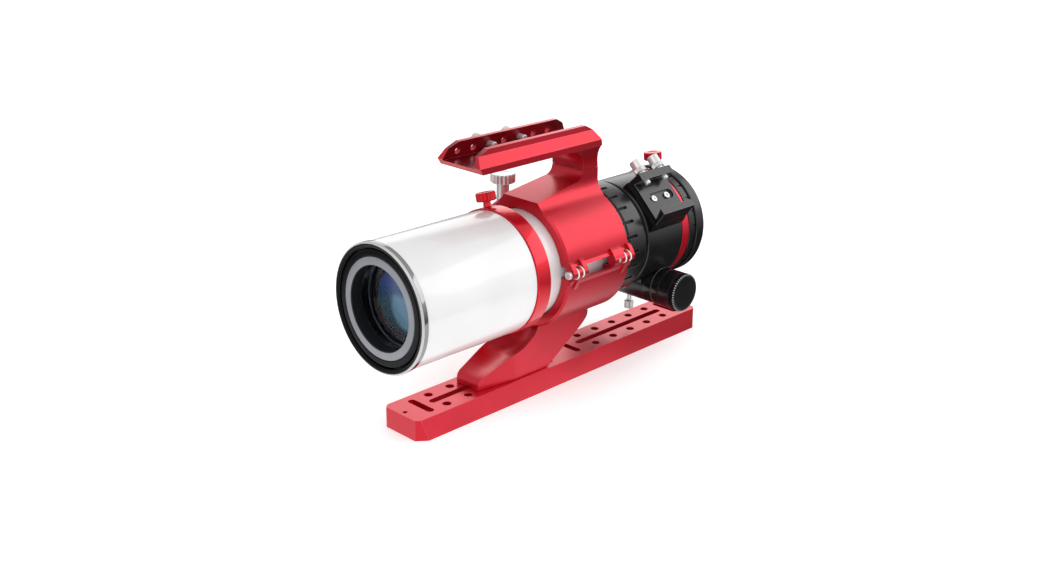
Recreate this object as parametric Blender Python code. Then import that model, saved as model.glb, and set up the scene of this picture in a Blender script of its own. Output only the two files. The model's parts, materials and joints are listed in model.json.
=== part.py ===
"""A compact wide-field refractor held in a hinged cradle on a dovetail plate.

Frame: +Z up, the tube points to -Y, the hinge and the large focus knob are on +X. The origin is the
middle of the plate's underside. Sizes are named in millimetres and turned into metres by MM.
"""

from math import cos, hypot, pi, radians, sin, sqrt

import bmesh
import bpy
from mathutils import Matrix, Vector

MM = 0.001
GAP = 0.3
WELD = 0.00001
ROUND_STEPS = 36
INNER_STEPS = 24

# Driving dimensions, in millimetres.
AXIS_Z = 100.7
PLATE_LENGTH = 318.0
PLATE_BASE_HALF = 22.0
PLATE_TOP_HALF = 18.65
PLATE_HEIGHT = 16.0
PLATE_END_HALF = 15.8
PLATE_CORNER = 7.6
PLATE_HOLE = 3.2
PLATE_HOLE_X = 10.2
PLATE_HOLE_FIRST = 38.3
PLATE_HOLE_STEP = 21.3
PLATE_HOLES_IN_ROW = 5
PLATE_SLOT_HALF = 3.0
PLATE_SLOT_REACH = 49.5
PLATE_SLOT_MIDDLE = 78.5

CRADLE_FRONT = -39.2
CRADLE_REAR = 28.0
CRADLE_OUTER = 50.3
CRADLE_INNER = 44.0
LOWER_TOP = 100.2
UPPER_FOOT_HINGE = 108.6
UPPER_FOOT_CLAMP = 103.4
FOOT_BASE = PLATE_HEIGHT + GAP
FOOT_HALF = 16.2

HINGE_X = 51.5
HINGE_Z = 104.4
KNUCKLE = 4.3
HINGE_PIN = 2.0
WASHER = 4.6
WASHER_THICK = 1.2

LOWER_LEAF = [(47.4, 104.0), (47.2, 99.0), (46.5, 94.0), (49.2, 90.2)]
LOWER_LEAF += [(52.5, 96.5), (54.8, 100.9), (55.6, 104.0)]
UPPER_LEAF = [(47.4, 104.8), (47.2, 110.0), (46.2, 113.0), (48.6, 113.9)]
UPPER_LEAF += [(51.8, 112.0), (54.6, 108.2), (55.6, 104.8)]
UPPER_KNUCKLES = ((CRADLE_FRONT, -35.4), (-28.1, -24.0), (6.0, 17.2), (24.5, CRADLE_REAR))
LOWER_KNUCKLES = ((-33.6, -29.9), (19.0, 22.7))
WASHERS = (-35.1, -29.6, 17.5, 23.0)
WINDOW = (-24.0, 5.8)
WINDOW_CUT = [(48.2, 98.9), (60.0, 98.9), (60.0, 101.5), (42.5, 101.5), (42.5, 95.2)]
CLAMP_X = -53.0
CLAMP_Y = -5.6
LUG_RADIUS = 8.0

RIDGE_HALF = 16.0
FLARE_RADIUS = 15.0
FLARE_Z = 158.2
SEAM_Z = 166.0
HANDLE_BOLT_X = 8.0
HANDLE_BOLT_Y = 19.5

SADDLE_HALF = 22.0
SADDLE_BASE = 184.3
SADDLE_FLOOR = 188.0
SADDLE_TOP = 200.5
SADDLE_HOLE_FIRST = -87.5
SADDLE_HOLE_STEP = 15.3
SADDLE_HOLES = 7
SADDLE_SCREW_HOLES = (2, 4)
SADDLE_SCREW_POINT = (-12.0, 193.2)
SADDLE_SCREW_TILT = radians(2.0)

TUBE_OUTER = 42.0
TUBE_INNER = 39.8
TUBE_FRONT = -124.7
TUBE_REAR = 30.0
CELL_FRONT = -175.0

DEW_OUTER = 46.7
DEW_INNER = 44.5
DEW_FRONT = -171.2
DEW_REAR = -68.3
CLAMP_RING_OUTER = 47.7
CLAMP_RING_REAR = -55.0
DEW_SCREW_Y = -61.5
DEW_SCREW_LEAN = radians(14.3)

FOCUSER_OUTER = 43.5
FOCUSER_BORE = 35.35
FOCUSER_REAR = 101.8
PINION_Y = 90.5
PINION_Z = 57.9
PINION_PITCH = 4.8
PINION_TEETH = 12
HOUSING_RADIUS = 15.5
ROOT_RADIUS = 39.5
DRAW_OUTER = 35.0
DRAW_INNER = 31.0
ROTATOR_SCREW_Y = 121.5
ROTATOR_SCREW_LEAN = radians(7.0)

SHOE_FLOOR = 49.0
SHOE_TOP = 58.6
THUMB_Y = (71.5, 93.0)
THUMB_HEIGHT = 54.2
SHOE_SCREW_Y = (75.2, 90.7)

TUBE_AXIS = (0.0, 0.0, AXIS_Z)
ALONG_X = (1.0, 0.0, 0.0)
ALONG_Y = (0.0, 1.0, 0.0)
ALONG_Z = (0.0, 0.0, 1.0)

MATERIALS = {
    "red_anodised": ((0.60, 0.012, 0.030), 0.34, 0.85),
    "white_paint": ((0.88, 0.88, 0.88), 0.22, 0.0),
    "black_anodised": ((0.012, 0.012, 0.013), 0.38, 0.6),
    "bright_steel": ((0.72, 0.72, 0.70), 0.22, 1.0),
    "dark_steel": ((0.10, 0.10, 0.11), 0.30, 1.0),
    "coated_glass": ((0.03, 0.08, 0.16), 0.05, 0.0),
    "white_nylon": ((0.85, 0.85, 0.83), 0.45, 0.0),
    "black_felt": ((0.02, 0.02, 0.02), 0.95, 0.0),
}


def clear_scene():
    for obj in list(bpy.data.objects):
        bpy.data.objects.remove(obj)


def material(slot):
    found = bpy.data.materials.get(slot)
    if found:
        return found
    colour, roughness, metallic = MATERIALS[slot]
    made = bpy.data.materials.new(slot)
    made.use_nodes = True
    shader = made.node_tree.nodes["Principled BSDF"]
    shader.inputs["Base Color"].default_value = (*colour, 1.0)
    shader.inputs["Roughness"].default_value = roughness
    shader.inputs["Metallic"].default_value = metallic
    return made


def solid(name, slot, bm):
    """Turn a mesh drawn in millimetres into an object in metres."""
    bmesh.ops.recalc_face_normals(bm, faces=bm.faces)
    bm.transform(Matrix.Scale(MM, 4))
    mesh = bpy.data.meshes.new(name)
    bm.to_mesh(mesh)
    bm.free()
    mesh.materials.append(material(slot))
    obj = bpy.data.objects.new(name, mesh)
    bpy.context.scene.collection.objects.link(obj)
    return obj


def settle(obj, origin=(0.0, 0.0, 0.0)):
    """Put the object's origin on a point, without moving its shape, and smooth its round faces."""
    shift = Vector(origin) * MM
    obj.data.transform(Matrix.Translation(-shift))
    obj.location = shift
    obj.data.shade_smooth()
    obj.data.set_sharp_from_angle(angle=radians(35.0))
    return obj


def bridge(bm, first, second, count):
    """Join two loops of vertices, either of which may be a single vertex on the axis."""
    for i in range(count):
        j = (i + 1) % count
        corners = [first[i % len(first)], first[j % len(first)]]
        corners += [second[j % len(second)], second[i % len(second)]]
        face = list(dict.fromkeys(corners))
        if len(face) > 2:
            bm.faces.new(face)


def axis_frame(axis):
    along = Vector(axis).normalized()
    helper = Vector(ALONG_Z) if abs(along.z) < 0.9 else Vector(ALONG_Y)
    side = along.cross(helper).normalized()
    return side, side.cross(along), along


def turned(name, slot, profile, centre=TUBE_AXIS, axis=ALONG_Y, segments=ROUND_STEPS):
    """Spin a profile of (radius, station) points; stations run along the axis from the centre."""
    side, up, along = axis_frame(axis)
    bm = bmesh.new()
    rows = []
    for radius, station in profile:
        foot = Vector(centre) + along * station
        if radius == 0:
            rows.append([bm.verts.new(foot)])
            continue
        turns = [2.0 * pi * i / segments for i in range(segments)]
        rows.append([bm.verts.new(foot + (side * cos(t) + up * sin(t)) * radius) for t in turns])
    for first, second in zip(rows, rows[1:]):
        bridge(bm, first, second, segments)
    if profile[0][0] > 0:
        bridge(bm, rows[-1], rows[0], segments)
    return solid(name, slot, bm)


def tube(name, slot, outer, inner, low, high, **options):
    profile = [(outer, low), (outer, high), (inner, high), (inner, low)]
    return turned(name, slot, profile, **options)


def rod(name, slot, radius, low, high, **options):
    return turned(name, slot, [(0, low), (radius, low), (radius, high), (0, high)], **options)


def loft(name, slot, sections):
    """Skin a row of closed sections that have the same number of points."""
    bm = bmesh.new()
    rows = [[bm.verts.new(point) for point in section] for section in sections]
    for first, second in zip(rows, rows[1:]):
        bridge(bm, first, second, len(first))
    bm.faces.new(rows[0])
    bm.faces.new(rows[-1])
    return solid(name, slot, bm)


def in_xy(u, v, w):
    return (u, v, w)


def in_xz(u, v, w):
    return (u, w, v)


def in_yz(u, v, w):
    return (w, u, v)


def in_shoe(t, h, y):
    """The finder shoe's plane, turned 45 degrees toward +X: t runs down the side, h outwards."""
    return ((t + h) / sqrt(2.0), y, AXIS_Z + (h - t) / sqrt(2.0))


def prism(name, slot, outline, low, high, place=in_xy):
    sections = [[place(u, v, w) for u, v in outline] for w in (low, high)]
    return loft(name, slot, sections)


def arc(centre, radius, first, last, steps):
    """Points along an arc, with its angles in degrees."""
    turns = [radians(first + (last - first) * i / steps) for i in range(steps + 1)]
    return [(centre[0] + radius * cos(t), centre[1] + radius * sin(t)) for t in turns]


def slot_outline(half_length, half_width, centre, lengthwise):
    """A round-ended slot, along v when lengthwise is true and along u when it is not."""
    ends = arc((half_length, 0), half_width, -90, 90, 5) + arc((-half_length, 0), half_width, 90, 270, 5)
    if lengthwise:
        return [(centre[0] - v, centre[1] + u) for u, v in ends]
    return [(centre[0] + u, centre[1] + v) for u, v in ends]


def weld(mesh):
    """Close the hairline gaps that a Boolean can leave where two cuts cross."""
    bm = bmesh.new()
    bm.from_mesh(mesh)
    bmesh.ops.remove_doubles(bm, verts=bm.verts, dist=WELD)
    bmesh.ops.dissolve_degenerate(bm, edges=bm.edges, dist=WELD)
    bm.to_mesh(mesh)
    bm.free()


def combine(target, tools, operation):
    """Apply one Boolean for each tool and then remove the tools."""
    for tool in tools:
        step = target.modifiers.new(tool.name, "BOOLEAN")
        step.object = tool
        step.operation = operation
        step.solver = "EXACT"
    bpy.context.view_layer.update()
    evaluated = target.evaluated_get(bpy.context.evaluated_depsgraph_get())
    result = bpy.data.meshes.new_from_object(evaluated)
    weld(result)
    target.modifiers.clear()
    target.data = result
    for tool in tools:
        bpy.data.objects.remove(tool)
    return target


def carve(target, tools):
    return combine(target, tools, "DIFFERENCE")


def fuse(target, tools):
    return combine(target, tools, "UNION")


def hole(radius, centre, axis, low, high, segments=20):
    return rod("hole", "dark_steel", radius, low, high, centre=centre, axis=axis, segments=segments)


# --- The dovetail plate and what bolts to it ---------------------------------------------------


def plate_outline(half_width):
    """The plan of the plate at one height: its end corners are cut by upright planes."""
    end = PLATE_LENGTH / 2
    cut = PLATE_CORNER * (half_width - PLATE_END_HALF) / (PLATE_BASE_HALF - PLATE_END_HALF)
    quarter = [(half_width, end - cut), (PLATE_END_HALF, end)]
    rear = quarter + [(-x, y) for x, y in reversed(quarter)]
    return rear + [(-x, -y) for x, y in rear]


def plate_hole_stations():
    return [PLATE_HOLE_FIRST + PLATE_HOLE_STEP * i for i in range(PLATE_HOLES_IN_ROW)]


def foot_bolt_places():
    first, second = plate_hole_stations()[:2]
    return [(x, -y) for y in (first, second) for x in (-PLATE_HOLE_X, PLATE_HOLE_X)]


def dovetail_plate():
    low = [(x, y, 0.0) for x, y in plate_outline(PLATE_BASE_HALF)]
    high = [(x, y, PLATE_HEIGHT) for x, y in plate_outline(PLATE_TOP_HALF)]
    plate = loft("dovetail_plate", "red_anodised", [low, high])
    below, above = -1.0, PLATE_HEIGHT + 1.0
    tools = []
    for end in (-1, 1):
        for station in plate_hole_stations():
            for side in (-1, 1):
                centre = (side * PLATE_HOLE_X, end * station, 0.0)
                tools.append(hole(PLATE_HOLE, centre, ALONG_Z, below, above, 12))
        long_slot = slot_outline(PLATE_SLOT_REACH, PLATE_SLOT_HALF, (0.0, end * PLATE_SLOT_MIDDLE), True)
        tools.append(prism("slot", "dark_steel", long_slot, below, above))
        for station in (16.2, 139.5):
            cross_slot = slot_outline(9.8, 3.0, (0.0, end * station), False)
            tools.append(prism("slot", "dark_steel", cross_slot, below, above))
        tools.append(hole(1.6, (0.0, end * 154.5, 0.0), ALONG_Z, 8.0, above, 10))
    tools.append(hole(2.5, (0.0, 0.0, 0.0), ALONG_Z, 6.0, above, 12))
    for x, y in foot_bolt_places():
        tools.append(hole(5.5, (x, y, 0.0), ALONG_Z, below, 6.5, 16))
    settle(carve(plate, tools))


def foot_bolts():
    for number, (x, y) in enumerate(foot_bolt_places(), start=1):
        profile = [(0, 0.3), (4.9, 0.3), (4.9, 6.2), (2.9, 6.2), (2.9, 26.0), (0, 26.0)]
        bolt = turned(
            f"foot_bolt_{number}", "dark_steel", profile, centre=(x, y, 0.0), axis=ALONG_Z, segments=20
        )
        settle(bolt, (x, y, 0.0))


# --- The lower cradle --------------------------------------------------------------------------


def foot_sections():
    """The foot along y: underside, edge of the scooped top, middle of the scoop, half width."""
    buried_edge = AXIS_Z - sqrt(47.0**2 - FOOT_HALF**2)
    buried = AXIS_Z - 47.0
    stations = [
        (-93.9, FOOT_BASE, 22.4, 22.2, 11.8),
        (-92.6, FOOT_BASE, 23.8, 23.4, 12.1),
        (-84.0, FOOT_BASE, 27.7, 26.7, 13.1),
        (-76.0, FOOT_BASE, 30.8, 29.0, 14.5),
        (-68.0, FOOT_BASE, 34.1, 31.0, 15.6),
        (-60.0, FOOT_BASE, 36.6, 32.5, FOOT_HALF),
        (-50.0, FOOT_BASE, 39.5, 33.8, FOOT_HALF),
        (-43.0, FOOT_BASE, 44.0, 35.8, FOOT_HALF),
        (-38.9, FOOT_BASE, 46.6, 37.8, FOOT_HALF),
        (-36.5, FOOT_BASE, 50.5, 39.8, FOOT_HALF),
        (-33.0, FOOT_BASE, buried_edge, 44.0, FOOT_HALF),
        (-29.5, FOOT_BASE, buried_edge, 49.6, FOOT_HALF),
        (-27.0, FOOT_BASE, buried_edge, buried, FOOT_HALF),
        (-24.3, FOOT_BASE, buried_edge, buried, FOOT_HALF),
        (-4.9, 28.9, buried_edge, buried, FOOT_HALF),
        (8.0, 36.9, buried_edge, buried, FOOT_HALF),
        (16.7, 43.3, buried_edge, buried, FOOT_HALF),
        (22.0, 47.2, buried_edge - 0.6, buried, 14.8),
        (27.0, 51.6, buried_edge - 2.0, buried, 10.0),
    ]
    steps = [i / 4 for i in range(-4, 5)]
    sections = []
    for y, base, edge, middle, half in stations:
        top = [(half * s, y, middle + (edge - middle) * s * s) for s in steps]
        sections.append([(half, y, base), (-half, y, base)] + top)
    return sections


def lower_shell():
    """Half a pipe with a raised lip along the hinge side; its ends are chamfered a little."""
    lip_angle = 6.5

    def section(y, outer):
        rim = LOWER_TOP - AXIS_Z
        outside = arc((0, 0), outer, -lip_angle, -178.0, 20)
        inside = arc((0, 0), CRADLE_INNER, -179.2, -0.8, 18)
        points = [(52.5, rim)] + outside + [(-outer, rim), (-CRADLE_INNER, rim)]
        points += inside[1:-1] + [(CRADLE_INNER, rim)]
        return [(x, y, AXIS_Z + z) for x, z in points]

    sections = [section(CRADLE_FRONT, CRADLE_OUTER - 1.7), section(CRADLE_FRONT + 1.5, CRADLE_OUTER)]
    sections += [section(CRADLE_REAR - 0.8, CRADLE_OUTER), section(CRADLE_REAR, CRADLE_OUTER - 0.8)]
    return loft("lower_cradle", "red_anodised", sections)


def lug(name, low, high):
    end = arc((CLAMP_X, CLAMP_Y), LUG_RADIUS, 90, 270, 10)
    outline = end + [(-46.0, CLAMP_Y - LUG_RADIUS), (-46.0, CLAMP_Y + LUG_RADIUS)]
    return prism(name, "red_anodised", outline, low, high)


def knuckles(spans, leaf):
    tools = []
    for low, high in spans:
        tools.append(prism("leaf", "red_anodised", leaf, low, high, in_xz))
        tools.append(hole(KNUCKLE, (HINGE_X, 0.0, HINGE_Z), ALONG_Y, low, high, 24))
    return tools


def hinge_pockets(spans, reach):
    """Room for the other half's knuckles to turn in."""
    centre = (HINGE_X, 0.0, HINGE_Z)
    return [hole(KNUCKLE + 0.6, centre, ALONG_Y, low - reach, high + reach, 28) for low, high in spans]


def hinge_bores(radius):
    centre = (HINGE_X, 0.0, HINGE_Z)
    return [hole(radius, centre, ALONG_Y, -60.0, -20.0), hole(radius, centre, ALONG_Y, 6.3, 60.0)]


def lower_cradle():
    shell = lower_shell()
    carve(shell, hinge_pockets([(CRADLE_FRONT - 1, -24.0), (6.0, CRADLE_REAR + 1)], 0.2))
    foot = loft("foot", "red_anodised", foot_sections())
    fuse(shell, [foot, lug("lug", 90.0, LOWER_TOP)])
    fuse(shell, knuckles(LOWER_KNUCKLES, LOWER_LEAF))
    cuts = hinge_bores(HINGE_PIN + 0.15)
    cuts.append(hole(3.8, (CLAMP_X, CLAMP_Y, 0.0), ALONG_Z, 80.0, 102.0))
    cuts += [hole(3.2, (x, y, 0.0), ALONG_Z, 10.0, 27.0) for x, y in foot_bolt_places()]
    cuts.append(prism("window", "red_anodised", WINDOW_CUT, *WINDOW, in_xz))
    settle(carve(shell, cuts))


def felt_arc(name, first, last):
    outline = arc((0, AXIS_Z), 43.7, first, last, 18) + arc((0, AXIS_Z), 42.4, last, first, 18)
    settle(prism(name, "black_felt", outline, CRADLE_FRONT + 0.5, CRADLE_REAR - 0.5, in_xz))


# --- The upper cradle with its handle ----------------------------------------------------------


def ridge_half_width(z):
    if z >= FLARE_Z:
        return RIDGE_HALF
    return RIDGE_HALF + FLARE_RADIUS - sqrt(FLARE_RADIUS**2 - (FLARE_Z - z) ** 2)


def upper_section(y, outer, ridge_top):
    """The arched shell and the ridge on it, at one station."""
    reach = hypot(RIDGE_HALF + FLARE_RADIUS, FLARE_Z - AXIS_Z)
    foot_z = AXIS_Z + CRADLE_OUTER * (FLARE_Z - AXIS_Z) / reach
    foot_angle = 61.7
    levels = [foot_z + (ridge_top - foot_z) * i / 4 for i in range(1, 5)]
    hinge_rim = UPPER_FOOT_HINGE - AXIS_Z
    clamp_rim = UPPER_FOOT_CLAMP - AXIS_Z
    right = [(outer + 0.8, hinge_rim)] + arc((0, 0), outer, 11.5, foot_angle, 6)
    right += [(ridge_half_width(z), z - AXIS_Z) for z in levels]
    left = [(-ridge_half_width(z), z - AXIS_Z) for z in reversed(levels)]
    left += arc((0, 0), outer, 180.0 - foot_angle, 176.6, 7)
    left += [(-sqrt(outer**2 - clamp_rim**2), clamp_rim)]
    inside = [(-sqrt(CRADLE_INNER**2 - clamp_rim**2), clamp_rim)]
    inside += arc((0, 0), CRADLE_INNER, 173.0, 13.5, 16)
    inside += [(sqrt(CRADLE_INNER**2 - hinge_rim**2), hinge_rim)]
    return [(x, y, AXIS_Z + z) for x, z in right + left + inside]


def upper_shell():
    ridge = [
        (CRADLE_FRONT, CRADLE_OUTER - 1.7, 151.2),
        (CRADLE_FRONT + 1.5, CRADLE_OUTER, 151.5),
        (-20.7, CRADLE_OUTER, 154.5),
        (5.0, CRADLE_OUTER, 157.8),
        (8.0, CRADLE_OUTER, 159.3),
        (10.0, CRADLE_OUTER, 161.8),
        (11.0, CRADLE_OUTER, 164.3),
        (11.3, CRADLE_OUTER, SEAM_Z),
        (CRADLE_REAR - 0.8, CRADLE_OUTER, SEAM_Z),
        (CRADLE_REAR, CRADLE_OUTER - 0.8, SEAM_Z),
    ]
    sections = [upper_section(y, outer, top) for y, outer, top in ridge]
    return loft("upper_cradle", "red_anodised", sections)


def handle_bolt_places():
    return [(side * HANDLE_BOLT_X, HANDLE_BOLT_Y) for side in (-1, 1)]


def upper_cradle():
    shell = upper_shell()
    fuse(shell, [lug("lug", UPPER_FOOT_CLAMP, 113.0)])
    carve(shell, hinge_pockets([(-35.1, -28.4), (17.5, 24.2)], 0.2))
    fuse(shell, knuckles(UPPER_KNUCKLES, UPPER_LEAF))
    cuts = hinge_bores(HINGE_PIN + 0.1)
    cuts.append(hole(3.3, (CLAMP_X, CLAMP_Y, 0.0), ALONG_Z, 100.0, 120.0))
    cuts.append(hole(5.6, (CLAMP_X, CLAMP_Y, 0.0), ALONG_Z, 113.0, 120.0, 24))
    cuts += [hole(2.7, (x, y, 0.0), ALONG_Z, 149.3, 170.0) for x, y in handle_bolt_places()]
    cuts.append(hole(1.8, (0.0, 11.5, HINGE_Z), ALONG_X, 53.0, 60.0, 12))
    settle(carve(shell, cuts), (HINGE_X, 0.0, HINGE_Z))


def hinge_hardware():
    centre = (HINGE_X, 0.0, HINGE_Z)
    front = [(0, -42.3), (2.9, -42.3), (3.4, -41.8), (3.4, -39.5), (2.0, -39.5), (2.0, -24.6), (0, -24.6)]
    rear = [(0, 6.6), (2.0, 6.6), (2.0, 27.4), (0, 27.4)]
    for name, profile in (("hinge_pin_front", front), ("hinge_pin_rear", rear)):
        settle(turned(name, "bright_steel", profile, centre=centre, segments=20), centre)
    for number, low in enumerate(WASHERS, start=1):
        name = f"hinge_washer_{number}"
        high = low + WASHER_THICK
        washer = tube(name, "white_nylon", WASHER, HINGE_PIN + 0.3, low, high, centre=centre, segments=20)
        settle(washer, centre)
    place = (0, 11.5, HINGE_Z)
    grub = rod("hinge_grub_screw", "bright_steel", 1.5, 53.9, 55.5, centre=place, axis=ALONG_X, segments=10)
    settle(grub, centre)


def saddle_axis():
    return (-cos(SADDLE_SCREW_TILT), 0.0, sin(SADDLE_SCREW_TILT))


def saddle_hole_point(index):
    x, z = SADDLE_SCREW_POINT
    return (x, SADDLE_HOLE_FIRST + SADDLE_HOLE_STEP * index, z)


def saddle_block():
    """The clamp bar on top of the handle: a long side view cut to the channel's cross-section."""
    side = [(-97.7, SADDLE_BASE), (-100.7, 188.8), (-97.7, 196.4), (-88.0, SADDLE_TOP), (12.0, SADDLE_TOP)]
    side += [(19.7, 196.5), (24.5, 189.6), (25.4, SADDLE_BASE)]
    right = [(SADDLE_HALF, SADDLE_BASE - 1), (SADDLE_HALF, 189.0), (17.1, 196.4), (16.7, SADDLE_TOP + 1)]
    right += [(12.3, SADDLE_TOP + 1), (17.0, SADDLE_FLOOR)]
    outline = right + [(-x, z) for x, z in reversed(right)]
    block = prism("handle", "red_anodised", side, -30.0, 30.0, in_yz)
    return combine(block, [prism("channel", "red_anodised", outline, -110.0, 40.0, in_xz)], "INTERSECT")


def pillar():
    stations = [
        (SEAM_Z + GAP, 16.0, 11.2, 27.8),
        (172.0, 16.3, 11.0, 27.1),
        (176.2, 17.2, 9.6, 26.6),
        (180.0, 18.8, 6.0, 26.0),
        (182.5, 20.3, -2.0, 25.6),
        (SADDLE_BASE, 21.6, -16.0, 25.1),
        (186.0, 21.2, -15.0, 24.4),
    ]
    sections = []
    for z, half, front, rear in stations:
        sections.append([(half, front, z), (half, rear, z), (-half, rear, z), (-half, front, z)])
    return loft("pillar", "red_anodised", sections)


def handle():
    body = fuse(saddle_block(), [pillar()])
    cuts = [hole(2.6, saddle_hole_point(i), saddle_axis(), -6.0, 14.0, 12) for i in range(SADDLE_HOLES)]
    for x, y in handle_bolt_places():
        cuts.append(hole(2.7, (x, y, 0.0), ALONG_Z, 160.0, 190.0))
        cuts.append(hole(4.6, (x, y, 0.0), ALONG_Z, 183.2, 190.0, 24))
    settle(carve(body, cuts), (HINGE_X, 0.0, HINGE_Z))


def handle_bolts():
    for number, (x, y) in enumerate(handle_bolt_places(), start=1):
        profile = [(0, 150.0), (2.4, 150.0), (2.4, 183.5), (4.2, 183.5), (4.2, 187.6), (0, 187.6)]
        bolt = turned(
            f"handle_bolt_{number}", "dark_steel", profile, centre=(x, y, 0.0), axis=ALONG_Z, segments=20
        )
        settle(bolt, (HINGE_X, 0.0, HINGE_Z))


def saddle_screws():
    for number, index in enumerate(SADDLE_SCREW_HOLES, start=1):
        profile = [(0, -3.6), (2.3, -3.6), (2.3, 9.6), (3.2, 9.6), (3.2, 12.4), (4.2, 12.4)]
        profile += [(4.7, 12.9), (4.7, 18.1), (4.2, 18.6), (0, 18.6)]
        centre = saddle_hole_point(index)
        screw = turned(
            f"saddle_screw_{number}", "bright_steel", profile, centre, saddle_axis(), segments=24
        )
        settle(screw, centre)


def clamp_knob():
    profile = [(0, 95.0), (2.4, 95.0), (3.0, 95.6), (3.0, 113.3), (4.4, 113.3), (5.0, 114.0), (5.0, 146.3)]
    profile += [(9.4, 146.3), (10.0, 146.9), (10.0, 153.2), (9.3, 153.9), (0, 153.9)]
    centre = (CLAMP_X, CLAMP_Y, 0.0)
    knob = turned("clamp_knob", "bright_steel", profile, centre=centre, axis=ALONG_Z, segments=24)
    settle(knob, (CLAMP_X, CLAMP_Y, 113.3))


# --- The tube and its optics -------------------------------------------------------------------


def lens(name, radius, front_edge, front_middle, rear_edge, rear_middle):
    """A lens with spherical faces, each drawn as a shallow arc from its middle to its edge."""
    steps = 3
    profile = []
    for i in range(steps + 1):
        share = i / steps
        profile.append((radius * share, front_middle + (front_edge - front_middle) * share**2))
    for i in range(steps, -1, -1):
        share = i / steps
        profile.append((radius * share, rear_middle + (rear_edge - rear_middle) * share**2))
    settle(turned(name, "coated_glass", profile, segments=INNER_STEPS))


def optical_tube():
    settle(tube("main_tube", "white_paint", TUBE_OUTER, TUBE_INNER, TUBE_FRONT, TUBE_REAR))
    cell = [(37.2, CELL_FRONT), (41.4, CELL_FRONT), (41.9, CELL_FRONT + 0.5)]
    cell += [(41.9, -125.0), (37.0, -125.0)]
    cell += [(37.0, -143.0), (30.5, -143.0), (30.5, -147.5), (32.9, -147.5), (32.9, -170.0), (37.2, -170.0)]
    settle(turned("lens_cell", "black_anodised", cell))
    ring = [(34.4, -175.4), (36.3, -175.4), (36.8, -174.9), (36.8, -170.3), (32.6, -170.3)]
    ring += [(32.6, -165.3), (30.9, -165.3), (30.6, -171.2)]
    settle(turned("lens_retaining_ring", "black_anodised", ring))
    lens("objective_lens_front", 32.5, -165.0, -168.0, -161.4, -159.4)
    lens("objective_lens_middle", 32.5, -160.9, -158.9, -156.0, -156.0)
    lens("objective_lens_rear", 32.5, -153.0, -154.6, -148.0, -146.6)
    settle(tube("lens_spacer", "black_anodised", 32.6, 31.0, -155.7, -153.3, segments=INNER_STEPS))
    for name, low in (("baffle_front", -91.0), ("baffle_rear", -41.0)):
        profile = [(39.5, low), (39.5, low + 5.0), (38.3, low + 5.0), (38.3, low + 1.0)]
        profile += [(27.0, low + 0.6), (27.0, low)]
        settle(turned(name, "black_anodised", profile, segments=INNER_STEPS))


def corrector():
    cell = [(39.5, 0.0), (39.5, 24.0), (37.0, 24.0), (37.0, 19.0), (23.5, 19.0), (23.5, 16.6)]
    cell += [(25.4, 16.6), (25.4, 0.0)]
    settle(turned("corrector_cell", "black_anodised", cell, segments=INNER_STEPS))
    lens("corrector_lens_front", 25.0, 4.2, 2.6, 8.7, 10.0)
    lens("corrector_lens_rear", 25.0, 12.6, 11.0, 16.3, 16.3)


def dew_shield():
    settle(tube("dew_shield", "white_paint", DEW_OUTER, DEW_INNER, DEW_FRONT, DEW_REAR))
    trim = [(44.9, -176.3), (46.7, -176.3), (47.4, -175.6), (47.4, -171.5), (43.3, -171.5), (43.3, -175.2)]
    trim += [(44.6, -175.6)]
    settle(turned("dew_shield_trim_ring", "dark_steel", trim))
    settle(tube("dew_shield_felt", "black_felt", 44.1, 42.4, -82.0, -68.9, segments=INNER_STEPS))
    ring = tube("dew_shield_clamp_ring", "red_anodised", CLAMP_RING_OUTER, 42.3, -68.0, CLAMP_RING_REAR)
    settle(carve(ring, [hole(2.3, dew_screw_centre(), dew_screw_axis(), 38.0, 52.0)]))


def leaning(angle):
    return (-sin(angle), 0.0, cos(angle))


def dew_screw_axis():
    return leaning(DEW_SCREW_LEAN)


def dew_screw_centre():
    return (0.0, DEW_SCREW_Y, AXIS_Z)


def red_lock_screw(name, centre, axis, surface, tip):
    """A red thumb screw that stands on a round surface, with its tip inside the wall."""
    profile = [(0, tip), (2.0, tip), (2.0, surface + 0.4), (3.2, surface + 0.4), (2.8, surface + 2.4)]
    profile += [(2.8, surface + 4.4), (6.9, surface + 4.4), (7.5, surface + 5.0), (7.5, surface + 10.3)]
    profile += [(6.9, surface + 11.0), (0, surface + 11.0)]
    screw = turned(name, "red_anodised", profile, centre=centre, axis=axis, segments=20)
    settle(screw, centre)


# --- The focuser -------------------------------------------------------------------------------


def shoe_point(t, h):
    x, y, z = in_shoe(t, h, 0.0)
    return (x, y, z)


def shoe_axis(t, h):
    tip = Vector(shoe_point(t, h)) - Vector(shoe_point(0.0, 0.0))
    return tuple(tip)


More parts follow.
